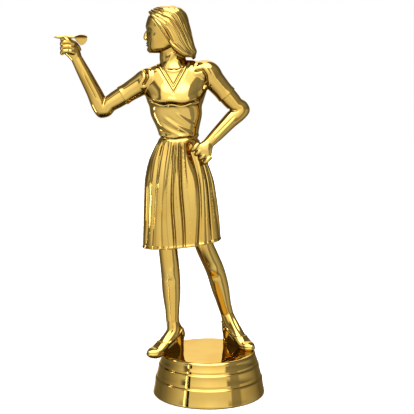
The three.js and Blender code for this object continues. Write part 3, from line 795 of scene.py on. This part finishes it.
dressWhole = makeDress()
for name, node, side in (("dress_front", "body_front", -1), ("dress_back", "body_back", 1)):
    half = bpy.data.objects.new(name, dressWhole.data.copy())
    bpy.context.scene.collection.objects.link(half)
    cut(half, [0, side * dress["seamGap"] / 2, 0], [0, -side, 0])
    finish(half, node, gold)
bpy.data.objects.remove(dressWhole)


headShape = {
    "cell": 0.16,
    "smoothing": 2,
    "halfWidth": 6.3,
    "hairLift": 0.75,
    "strands": 6,
    "strandDepth": 0.42,
}
headX = bodyX - 2.5
# the hair's front edge and its outer edge, from the parting down
hairline = np.array([[-27.0, 149.5], [-22.6, 145.2], [-20.3, 143.0], [-17.8, 139.8], [-15.6, 136.6],
                     [-13.4, 133.4], [-9.8, 130.4], [-6.2, 128.6], [-2.0, 126.6]])
hairEdge = np.array([[-22.4, 145.6], [-21.3, 146.5], [-18.7, 147.5], [-15.4, 148.0], [-12.1, 147.5],
                     [-9.5, 145.2], [-7.7, 141.9], [-6.6, 138.2], [-6.0, 135.0], [-5.3, 132.1],
                     [-4.7, 131.0], [-5.0, 128.8]])


def faceLevel(share):
    return chinZ + (crownZ - chinZ) * share


def headRelief(points, normals):
    # a plain face in bumps, from the eye sockets down to the jaw, and hair in strands that share out the
    # space between its two edges
    x, y, z = points.T
    level = faceLevel
    face = bumps(points, [
        [-22.1, 2.35, level(0.475), 1.4, 1.25, 0.75, -0.6],
        [-22.2, 2.4, level(0.47), 1.2, 0.95, 0.5, 0.55],
        [-22.4, 2.35, level(0.51), 1.4, 1.2, 0.14, -0.18],
        [-22.6, 2.3, level(0.565), 1.6, 1.6, 0.4, 0.26],
        [-23.2, 0.85, level(0.285), 0.7, 0.5, 0.5, 0.24],
        [-23.0, 0.0, level(0.19), 1.3, 1.5, 0.32, 0.36],
        [-22.9, 0.0, level(0.145), 1.3, 1.2, 0.36, 0.4],
        [-23.2, 0.0, level(0.168), 1.3, 1.7, 0.13, -0.34],
        [-22.6, 0.0, level(0.105), 1.2, 1.3, 0.4, -0.22],
        [-22.6, 0.0, level(0.04), 1.4, 1.4, 0.75, 0.32],
        [-20.4, 4.0, level(0.345), 2.0, 1.6, 1.5, 0.3],
        [-17.5, 5.0, level(0.09), 2.6, 1.6, 0.8, 0.2],
    ])
    h = headShape
    inside = toLine(x, z, hairline)
    outer = np.abs(toLine(x, z, hairEdge))
    hair = step(inside, 0.0, 0.25)
    shadow = 0.3 * bell(inside + 0.2, 0.22) * (z > chinZ - 1.5)
    q = np.clip(inside / (inside + outer + 1e-6), 0, 1)
    drift = 0.12 * np.sin(0.5 * x + 0.9 * z) + 0.1 * np.sin(1.1 * y)
    wave = np.sin(2 * np.pi * (h["strands"] * q + drift))
    fine = np.sin(2 * np.pi * (h["strands"] * 2.3 * q + 2 * drift) + 1.0)
    room = step(inside, 0.3, 1.2) * step(outer, 0.2, 1.5)
    patchy = 0.6 + 0.4 * np.sin(9 * q + 0.35 * z + 0.2 * x)
    strand = h["strandDepth"] * patchy * (0.5 * wave - np.abs(wave) ** 3 * (wave < 0) * 0.6) + 0.1 * fine
    rim = 0.2 * bell(inside - 0.5, 0.35)
    neckLine = lineDistance(x, z, -12.4, 131.0, -16.2, 125.4)[0]
    neckCord = 0.35 * bell(neckLine, 0.8) * (z < chinZ) * (y < 0)
    return (face - shadow) * (1 - hair) + hair * (h["hairLift"] + strand * room + rim) + neckCord


def levelSections(rows, startX):
    # level sections that face left; a row is x, height as a share of the face, half width, front, back
    return carried([[startX + x, 0, faceLevel(share), *rest] for x, share, *rest in rows],
                   facing=(-1, 0, 0), count=90, around=90, upright=True)


def makeHead():
    level, w = faceLevel, headShape["halfWidth"]
    rows = [(0, 0.955, w - 4.4, 2.4, 2.4), (0, 0.92, w - 2.3, 4.6, 4.2), (0, 0.832, w - 0.8, 6.8, 6.0),
            (0, 0.683, w - 0.1, 7.9, 6.9), (0, 0.551, w, 8.3, 7.1), (0, 0.443, w - 0.15, 7.9, 6.9),
            (0, 0.323, w - 0.35, 7.9, 6.5), (-0.4, 0.204, w - 0.7, 7.5, 6.0), (-2.0, 0.1, w - 1.5, 5.8, 5.0),
            (-3.6, 0.03, w - 2.7, 3.9, 3.6), (-4.6, -0.02, w - 4.2, 2.4, 2.2)]
    skull = levelSections(rows, headX)
    noseRows = [(-7.3, 0.47, 0.5, 0.5, 0.5), (-7.9, 0.41, 0.6, 0.8, 0.8), (-8.3, 0.34, 0.7, 0.8, 0.9),
                (-8.4, 0.3, 0.85, 0.7, 0.8), (-8.1, 0.265, 0.75, 0.4, 0.5)]
    nose = carried([[headX + x, 0, level(share), *rest] for x, share, *rest in noseRows],
                   facing=(-1, 0, 0), count=24, around=24)
    hairRows = [(-15.2, 0.96, 2.2, 2.4, 2.4), (-15.0, 0.93, 4.2, 4.0, 4.2), (-14.6, 0.86, 5.8, 5.2, 5.0),
                (-14.2, 0.74, 6.5, 5.0, 5.7), (-13.4, 0.56, 6.8, 4.6, 5.8), (-12.2, 0.36, 6.9, 4.2, 5.4),
                (-10.9, 0.15, 6.7, 4.0, 4.9), (-9.7, 0.02, 6.1, 3.8, 4.5), (-8.7, -0.06, 5.2, 2.8, 3.2),
                (-8.0, -0.11, 3.8, 1.8, 2.2)]
    hair = levelSections(hairRows, 0)
    neck = carried([[-13.6, 0, level(0.15), 4.0, 4.4, 4.2], [-13.4, 0, chinZ - 1.6, 4.1, 4.9, 4.3],
                    [-13.0, 0, collarZ + 0.8, 4.6, 5.2, 4.7], [-12.9, 0, collarZ - 1.6, 5.8, 5.6, 5.8]],
                   facing=(-1, 0, 0), count=40, around=60)
    piece = fused("head_and_hair", [skull, nose, hair, neck], headShape)
    return pushed(piece, headRelief)


finish(makeHead(), "head", gold)


armShape = {"arm": 3.15, "wrist": 2.1, "cell": 0.16, "smoothing": 3, "finger": 0.95, "thumb": 1.1}


def blendPoint(a, b, share):
    return a + (b - a) * share


def limb(arm):
    r, w = armShape["arm"], armShape["wrist"]
    start, soon = arm["sleeveEnd"] - arm["line"] * 0.8, arm["sleeveEnd"] + arm["line"] * 2.5
    elbow, wrist = arm["elbow"], arm["wrist"]
    return carried([
        [*start, r + 0.3, r + 0.3],
        [*soon, r + 0.2, r + 0.2],
        [*blendPoint(soon, elbow, 0.5), r - 0.05, r + 0.1],
        [*elbow, r + 0.2, r],
        [*blendPoint(elbow, wrist, 0.35), r - 0.3, r - 0.3],
        [*blendPoint(elbow, wrist, 0.7), w + 0.4, w + 0.3],
        [*wrist, w, w - 0.2],
        [*(wrist + (wrist - elbow) * 0.06), w - 0.1, w - 0.3],
    ], count=110, around=72)


def finger(points, radius):
    # thinner towards its tip, and rounded a quarter of the last length beyond it
    thick = np.linspace(1.0, 0.82, len(points)) * radius
    rows = [[*point, t, t] for point, t in zip(points, thick)]
    beyond = points[-1] * 0.75 + (2 * points[-1] - points[-2]) * 0.25
    return carried(rows + [[*beyond, radius * 0.45, radius * 0.45]], count=36, around=24)


def makeRaisedArm():
    wrist = raised["wrist"]
    at = lambda x, y, z: wrist + np.array([x, y, z])
    palm = [[*wrist, 2.1, 1.9], [*at(-1.2, 0, 2.2), 2.7, 2.2], [*at(-2.8, -0.2, 4.4), 3.0, 2.4, 2.2],
            [*at(-3.8, -0.4, 6.2), 2.2, 2.0, 1.8], [*at(-4.2, -0.6, 7.3), 1.2, 1.4]]
    grids = [limb(raised), carried(palm, count=50, around=48)]
    # three curled fingers, one below the other, then the forefinger and the thumb on the dart
    curled = [[-0.6, -1.6, 5.3], [-2.6, -2.5, 5.9], [-4.7, -2.3, 5.7], [-5.2, -0.6, 5.0]]
    for index in range(3):
        drop = index * 1.6
        grids.append(finger([at(x, y, z - drop) for x, y, z in curled], armShape["finger"]))
    fore = [at(-1.2, -1.8, 5.4), at(-2.4, -2.5, 6.1), at(-3.6, -2.2, 7.1), at(-5.2, -1.4, 6.9)]
    thumb = [at(0.9, 0.2, 2.6), at(0.2, 0.2, 4.4), at(-1.6, 0.3, 6.0), at(-4.2, 0.0, 6.8)]
    grids += [finger(fore, armShape["finger"]), finger(thumb, armShape["thumb"])]
    piece = fused("raised_arm", grids, armShape)
    hollow = [[-2.2, -3.4, 3.0, 0.4, 0.8, 2.5, -0.2]]
    return pushed(piece, lambda p, n: bumps(p - wrist, hollow) + armRelief(p, n, raised))


def armRelief(points, normals, arm):
    # the crook of the elbow, the point behind it, and the long muscle of the forearm
    elbow, wrist = arm["elbow"], arm["wrist"]
    way = (wrist - elbow) / np.linalg.norm(wrist - elbow)
    inner = way - arm["line"]
    inner = inner / np.linalg.norm(inner)
    off = points - elbow
    crook = off @ inner
    fold = bell(off @ np.cross(inner, [0, 1, 0]), 0.35) * step(crook, 1.2, 2.4) * (np.abs(crook) < 4.6)
    tip = bell(np.linalg.norm(off + inner * 3.0, axis=1), 1.5)
    along = off @ way
    across = off @ np.cross(way, [0, 1, 0]) - 0.6
    muscle = bell(across, 0.55) - 1.6 * bell(across + 0.8, 0.22)
    ridge = muscle * step(along, 3, 6) * (1 - step(along, 12, 17))
    return -0.35 * fold + 0.35 * tip + 0.16 * ridge * (normals[:, 1] < 0)


def makeAkimboArm():
    wrist = akimbo["wrist"]
    at = lambda x, y, z: wrist + np.array([x, y, z])
    back = [[*wrist, 2.1, 1.9], [*at(-0.9, -0.8, -1.3), 2.8, 1.9], [*at(-1.7, -1.2, -2.4), 3.5, 1.8],
            [*at(-2.4, -1.2, -3.4), 3.7, 1.6], [*at(-2.9, -1.0, -4.0), 2.6, 1.2]]
    grids = [limb(akimbo), carried(back, count=50, around=48)]
    # four fingers folded into the fist, side by side down a slope
    across = np.array([0.7, 0, 0.7])
    for index in range(4):
        middle = at(-5.0 + index * 1.5, -2.3, -1.3 - index * 1.6)
        bend = [middle + across * 1.9 + [0, 0.7, 0], middle, middle - across * 1.1 + [0, 0.4, 0],
                middle - across * 1.5 + [0, 2.0, 0]]
        grids.append(finger(bend, armShape["finger"]))
    piece = fused("akimbo_arm", grids, armShape)
    return pushed(piece, lambda p, n: armRelief(p, n, akimbo))


finish(makeRaisedArm(), "arm_raised", gold)
finish(makeAkimboArm(), "arm_akimbo", gold)


dartShape = {
    "flight": 4.9,
    "fin": 2.9,
    "thick": 0.2,
    "grip": [-0.9, 7.7],
    "marks": [
        (0.0, 0.06), (0.5, 0.2), (1.3, 0.42), (2.2, 0.52), (3.0, 0.46), (3.5, 0.3), (3.7, 0.46), (4.1, 0.5),
        (4.3, 0.42), (4.6, 0.5), (4.8, 0.42), (5.1, 0.5), (5.3, 0.42), (5.6, 0.5), (6.6, 0.5), (7.4, 0.4),
        (11.6, 0.42), (12.2, 0.34), (12.4, 0.1)],
}


def makeDart():
    # marks are a distance from the point and the shaft's radius there; grip is behind and above the wrist
    d = dartShape
    tip, tail = dartLow[0] - axisX, dartHigh[0] - axisX
    y, z = raised["wrist"][1:] + d["grip"]
    shaft = [[tip + reach, y, z, radius, radius] for reach, radius in d["marks"]]
    grids = [carried(shaft, facing=(0, 0, -1), count=190, around=32)]
    # a fin widens as a power of the way along, then rounds off as a quarter of an ellipse
    s = np.linspace(0, 1, 26)
    ending = np.sqrt(np.clip(1 - ((s - 0.5) / 0.52) ** 2, 0, 1))
    profile = np.minimum(s / 0.5, 1) ** 0.8 * np.where(s > 0.5, ending, 1)
    for facing in ((0, 0, -1), (0, -0.95, 0.32), (0, 0.95, 0.32)):
        rows = [[tail - d["flight"] + share * d["flight"] * 0.99, y, z, d["thick"],
                 max(reach * d["fin"], 0.12), 0.1] for share, reach in zip(s, profile)]
        grids.append(carried(rows, facing=facing, count=70, around=28))
    return fromGrids("dart_and_flight", grids)


finish(makeDart(), "dart", gold)


legShape = {
    "cell": 0.22,
    "smoothing": 3,
    "leg": 3.7,
    "ankle": 2.5,
    "shoe": 15.2,
    "heel": 6.0,
    "sole": 1.3,
    "web": 0.85,
    "topLine": 0.28,
    "welt": 0.18,
    "kneecap": 0.3,
    "tendons": 0.14,
    "clear": 0.03,
}
legs = {
    "right": {
        "hip": [-15.6, -0.6], "knee": [-14.6, -1.0], "ankle": [-13.8, 0.2], "heel": [-11.0, 1.6], "toe": 218},
    "left": {
        "hip": [-1.9, 1.4], "knee": [2.3, 5.6], "ankle": [7.2, 10.8], "heel": [7.0, 11.2], "toe": -49.4},
}


def legGrids(foot):
    m = legShape
    way = np.array([math.cos(math.radians(foot["toe"])), math.sin(math.radians(foot["toe"])), 0])
    heel = np.array([*foot["heel"], topZ])
    spot = lambda forward, rise: heel + way * forward + [0, 0, rise]
    hip, knee, ankle = (np.array(foot[name]) for name in ("hip", "knee", "ankle"))
    shin = lambda share: topZ + m["heel"] + 4.5 + (hemZ - topZ - m["heel"] - 4.5) * share
    calf = knee + (ankle - knee) * 0.42
    low = knee + (ankle - knee) * 0.75
    r, a = m["leg"], m["ankle"]
    shank = carried([
        [*hip, hemZ + 4, r - 0.1, r, r],
        [*hip, hemZ - 0.5, r - 0.1, r, r],
        [*knee, shin(0.64), r - 0.1, r - 0.2, r + 0.4],
        [*calf, shin(0.4), r - 0.25, r - 0.6, r + 0.7],
        [*low, shin(0.18), a + 0.25, a, a + 0.5],
        [*ankle, shin(0.03), a, a],
        [*spot(1.4, m["heel"] + 0.8), a - 0.2, a - 0.2],
    ], count=120, around=80)
    up = np.array([0, 0, 1]) + way * 0.4
    instep = carried([
        [*ankle, topZ + m["heel"] + 5.5, a, a],
        [*spot(3.4, m["heel"] + 1.5), a + 0.1, a],
        [*spot(7.4, m["heel"] * 0.5 + 1.0), a + 0.2, 1.9, 1.7],
        [*spot(10.6, m["sole"] + 0.5), a + 0.4, 1.6, 2.6],
        [*spot(13.4, 1.1), a - 0.2, 1.3, 2.0],
        [*spot(m["shoe"], 1.0), 0.8, 0.7, 0.7],
    ], facing=up, count=90, around=64)
    counter = carried([
        [*ankle, topZ + m["heel"] + 5.0, a - 0.3, a - 0.3],
        [*spot(0.9, m["heel"] + 0.8), 2.2, 2.2],
        [*spot(0.7, m["heel"] - 1.0), 2.0, 1.9],
        [*spot(0.2, 2.0), 1.2, 1.2],
        [*spot(0, 0.02), 1.15, 1.15],
    ], facing=way, count=60, around=48)
    # the web under the arch: a thin upright plate whose top follows the sole
    s = np.linspace(0.2, m["shoe"] * 0.64, 14)
    tops = np.interp(s, [0.2, 3.0, 5.5, 9.5], [m["heel"] + 0.2, m["heel"], m["heel"] * 0.62, m["sole"] + 0.4])
    web = carried([[*spot(along, 0.02), m["web"], top, 0.4] for along, top in zip(s, tops)],
                  facing=(0, 0, 1), count=50, around=40)
    return [shank, instep, counter, web], way, heel


def baseSurface(radius):
    # height of the base's skin under a shoe, at a distance from the base's axis
    edge = baseRadius - 2 * base["setback"] - base["flare"]
    return np.interp(radius, [0, edge - 1.2, edge - 0.6, edge - 0.1, edge + 0.05, edge + 6],
                     [topZ, topZ, topZ - 0.2, topZ - 0.9, topZ - 2.0, topZ - 2.2])


def legRelief(points, normals, foot, way, heel):
    m = legShape
    x, y, z = points.T
    forward = (points - heel) @ way
    side = (points - heel) @ np.array([-way[1], way[0], 0])
    rise = z - topZ
    # court shoe: its rim runs from high behind the heel, low along the sides, up to the throat
    low, high = m["heel"] * 0.5, m["heel"]
    rim = np.interp(forward, [-2, 0.6, 2.4, 4.5, 7.5, 9.6, 10.6],
                    [high + 3.0, high + 2.8, high + 1.2, high + 0.1, low + 1.5, low + 1.6, 12])
    shoe = step(rim - rise, 0.0, 0.3) * (rise < 11)
    height = m["topLine"] * shoe + 0.1 * bell(rim - rise - 0.35, 0.25) * (rise < 11)
    # the sole's edge below a welt line
    welt = m["welt"] * step(0.95 - rise, 0.0, 0.2) - 0.12 * bell(rise - 1.15, 0.16)
    height += welt * (forward > 8.5)
    # kneecap and the hollow under it
    knee = np.array([*foot["knee"], topZ + m["heel"] + 4.5 + 0.66 * (hemZ - topZ - m["heel"] - 4.5)])
    across, ahead, up = (points - knee).T
    ahead = ((ahead + 3) / 2) ** 2
    height += m["kneecap"] * np.exp(-((across / 1.9) ** 2 + ahead + (up / 1.9) ** 2))
    height -= 0.22 * np.exp(-((across / 1.5) ** 2 + ahead + ((up + 3.2) / 1.1) ** 2))
    # tendons over the instep
    bare = (1 - shoe) * (rise < 12) * (rise > 2)
    height += m["tendons"] * np.sin(side * 3.4) * bell(forward - 5.5, 2.6) * bare
    return height


def makeLeg(name, foot):
    grids, way, heel = legGrids(foot)
    piece = fused(name, grids, legShape)
    pushed(piece, lambda p, n: legRelief(p, n, foot, way, heel))
    # the sole's points that would dip into the base rest just above it
    points = unplace(read(piece.data.vertices, "co"))
    floor = baseSurface(np.hypot(points[:, 0], points[:, 1])) + legShape["clear"]
    points[:, 2] = np.maximum(points[:, 2], floor)
    movePoints(piece, points)
    point, tilt = hemPlane(0.75)
    return cut(piece, point, tilt)


finish(makeLeg("leg_and_shoe_right", legs["right"]), "leg_right", gold)
finish(makeLeg("leg_and_shoe_left", legs["left"]), "leg_left", gold)

# CAD nodes that stay as they are
for node, material in (("skirt_floor", gold), ("nut_retainer", springSteel)):
    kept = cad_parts[node]
    kept.data.materials.clear()
    kept.data.materials.append(material)


studio = {
    "lens": 101.27,
    "distance": 434.0,
    "height": 144.4,
    "offset": -0.7,
    "pitch": 9.4,
    "overhead": 3.6,
    "overheadTip": 18,
    "overheadReach": 34,
    "floorGlow": 0.5,
    "secondBounce": 0.19,
    "paper": [(0.93, 0.93, 0.93, 1), (0.96, 0.96, 0.96, 1)],
    "floorReach": 900,
    "floorDrop": 0.02,
    "brightest": 5.0,
    "lamp": {"at": [-110, 2.0, 68], "aim": [-28, -5, 70], "size": [10, 26], "power": 0.005},
    "cards": {"whiteCard": ([-44.4, -47.5], 2.6, 2.6), "blackCard": ([-39.4, -52.2], 5.2, 0.0)},
    "cardHeights": [-20, 26],
}


def makeCamera():
    lens = bpy.data.cameras.new("studioCamera")
    lens.lens = studio["lens"]
    lens.sensor_width = 36
    lens.clip_start = 0.01
    camera = bpy.data.objects.new("studioCamera", lens)
    camera.location = place([studio["offset"], -studio["distance"], studio["height"]])
    camera.rotation_euler = (math.radians(90 - studio["pitch"]), 0, 0)
    bpy.context.scene.collection.objects.link(camera)
    bpy.context.scene.camera = camera


def makeFloor():
    r = studio["floorReach"]
    corners = [[x, y, -studio["floorDrop"]] for x, y in ((-r, -r), (r, -r), (r, r), (-r, r))]
    floor = makeMesh("studioFloor", corners, [[0, 1, 2, 3]])
    material, nodes, links, shader, where = startMaterial("paperWhite")
    setValues(shader, {"Roughness": 0.8, "Emission Color": (1, 1, 1, 1)})
    path = nodes.new("ShaderNodeLightPath")
    grain = spread(nodes, links, noise(nodes, links, where, 900.0, 2.0), 0.3, 0.7, 0.0, 1.0)
    paper = mixed(nodes, links, grain, *studio["paper"], colours=True)
    links.new(paper, shader.inputs["Base Color"])
    glow = calc(nodes, links, "MULTIPLY", path.outputs["Is Camera Ray"], studio["floorGlow"])
    links.new(glow, shader.inputs["Emission Strength"])
    # mirror rays pass through the paper, so that the figure reflects the tent's screens alone
    clear, mix = nodes.new("ShaderNodeBsdfTransparent"), nodes.new("ShaderNodeMixShader")
    links.new(path.outputs["Is Glossy Ray"], mix.inputs["Fac"])
    links.new(shader.outputs[0], mix.inputs[1])
    links.new(clear.outputs[0], mix.inputs[2])
    links.new(mix.outputs[0], nodes["Material Output"].inputs["Surface"])
    floor.data.materials.append(material)


def ramp(nodes, links, value, low, high, stops):
    # brightness by angle: each stop is an angle in degrees and a brightness
    share = spread(nodes, links, value, math.radians(low), math.radians(high))
    made = nodes.new("ShaderNodeValToRGB")
    points = made.color_ramp.elements
    while len(points) < len(stops):
        points.new(0.5)
    most = studio["brightest"]
    for point, (angle, bright) in zip(points, stops):
        point.position = (angle - low) / (high - low)
        point.color = (bright / most, bright / most, bright / most, 1)
    links.new(share, made.inputs["Fac"])
    return calc(nodes, links, "MULTIPLY", made.outputs["Color"], most)


# brightness round the figure from the camera's side, left negative, below and above eye level
lowStops = [
    (-180, 0.7), (-165, 0.6), (-150, 0.15), (-120, 0.12), (-100, 0.2), (-78, 0.42), (-52, 0.68), (0, 0.77),
    (46, 0.72), (49, 0.28), (68, 0.26), (72, 0.5), (105, 0.3), (130, 0.12), (165, 0.15), (180, 0.7)]
highStops = [
    (-180, 0.85), (-166, 0.8), (-160, 0.1), (-112, 0.08), (-95, 0.2), (-66, 0.5), (-58, 0.12), (-50, 0.1),
    (-44, 0.8), (0, 1.0), (38, 0.88), (42, 0.22), (60, 0.2), (95, 0.16), (120, 0.08), (160, 0.1), (166, 0.8),
    (180, 0.85)]
upStops = [(-90, 0.02), (-74, 0.04), (-62, 0.1), (-54, 0.5), (-40, 0.9), (-25, 1.05), (4, 1.0), (14, 1.1),
           (26, 1.35), (60, 1.5)]


def makeWorld():
    world = bpy.data.worlds.new("lightTent")
    bpy.context.scene.world = world
    world.use_nodes = True
    nodes, links = world.node_tree.nodes, world.node_tree.links
    background = nodes["Background"]
    direction = nodes.new("ShaderNodeTexCoord").outputs["Generated"]
    way = nodes.new("ShaderNodeSeparateXYZ")
    links.new(direction, way.inputs[0])
    towards = calc(nodes, links, "MULTIPLY", way.outputs["Y"], -1.0)
    turn = calc(nodes, links, "ARCTAN2", way.outputs["X"], towards)
    lift = calc(nodes, links, "ARCSINE", way.outputs["Z"])
    low = ramp(nodes, links, turn, -180, 180, lowStops)
    high = ramp(nodes, links, turn, -180, 180, highStops)
    above = spread(nodes, links, lift, math.radians(-3), math.radians(5))
    around = mixed(nodes, links, above, low, high)
    walls = calc(nodes, links, "MULTIPLY", around, ramp(nodes, links, lift, -90, 90, upStops))
    # the overhead box hangs a little in front
    towardsBox = nodes.new("ShaderNodeVectorMath")
    towardsBox.operation = "DOT_PRODUCT"
    tip, reach = math.radians(studio["overheadTip"]), studio["overheadReach"]
    towardsBox.inputs[1].default_value = (0, -math.sin(tip), math.cos(tip))
    links.new(direction, towardsBox.inputs[0])
    overhead = spread(nodes, links, towardsBox.outputs["Value"], math.cos(math.radians(reach)),
                      math.cos(math.radians(reach - 7)))
    tent = mixed(nodes, links, overhead, walls, studio["overhead"])
    path = nodes.new("ShaderNodeLightPath")
    seen = mixed(nodes, links, path.outputs["Is Camera Ray"], tent, 1.0)
    # light that has bounced between parts of the figure comes back dimmer than the tent itself
    dimming = spread(nodes, links, path.outputs["Glossy Depth"], 1.0, 2.0, 1.0, studio["secondBounce"])
    background.inputs["Color"].default_value = (1, 1, 1, 1)
    links.new(calc(nodes, links, "MULTIPLY", seen, dimming), background.inputs["Strength"])


def softbox(name, at, aim, size, power):
    # a rectangular lamp at a place, square to the point it is aimed at
    light = bpy.data.lights.new(name, "AREA")
    light.shape = "RECTANGLE"
    light.size, light.size_y = size[0] * 0.001, size[1] * 0.001
    light.energy = power
    lamp = bpy.data.objects.new(name, light)
    back = np.array(at, float) - aim
    back /= np.linalg.norm(back)
    right = np.cross([0, 0, 1], back)
    right /= np.linalg.norm(right)
    turn = Matrix(np.stack([right, np.cross(back, right), back], axis=-1).tolist()).to_4x4()
    turn.translation = place(at).tolist()
    lamp.matrix_world = turn
    lamp.visible_camera = False
    bpy.context.scene.collection.objects.link(lamp)


def makeCards():
    # a narrow white card and a wider black one stand near the base on the left, for its steps to mirror
    for name, (at, width, bright) in studio["cards"].items():
        middle = np.array([*at, 0.0])
        across = np.cross([0, 0, 1], middle / np.linalg.norm(middle))
        corners = [middle + across * side * width / 2 + [0, 0, height]
                   for height in studio["cardHeights"] for side in (-1, 1)]
        card = makeMesh(name, corners, [[0, 1, 3, 2]])
        material, nodes, links, shader, where = startMaterial(name)
        setValues(shader, {"Base Color": (0.02, 0.02, 0.02, 1), "Roughness": 0.9,
                           "Emission Color": (1, 1, 1, 1), "Emission Strength": bright})
        card.data.materials.append(material)
        card.visible_camera = card.visible_shadow = card.visible_diffuse = False


makeCamera()
makeFloor()
makeWorld()
softbox("leftSoftbox", **studio["lamp"])
makeCards()
bpy.context.scene.view_settings.view_transform = "Standard"
print("studio ready")
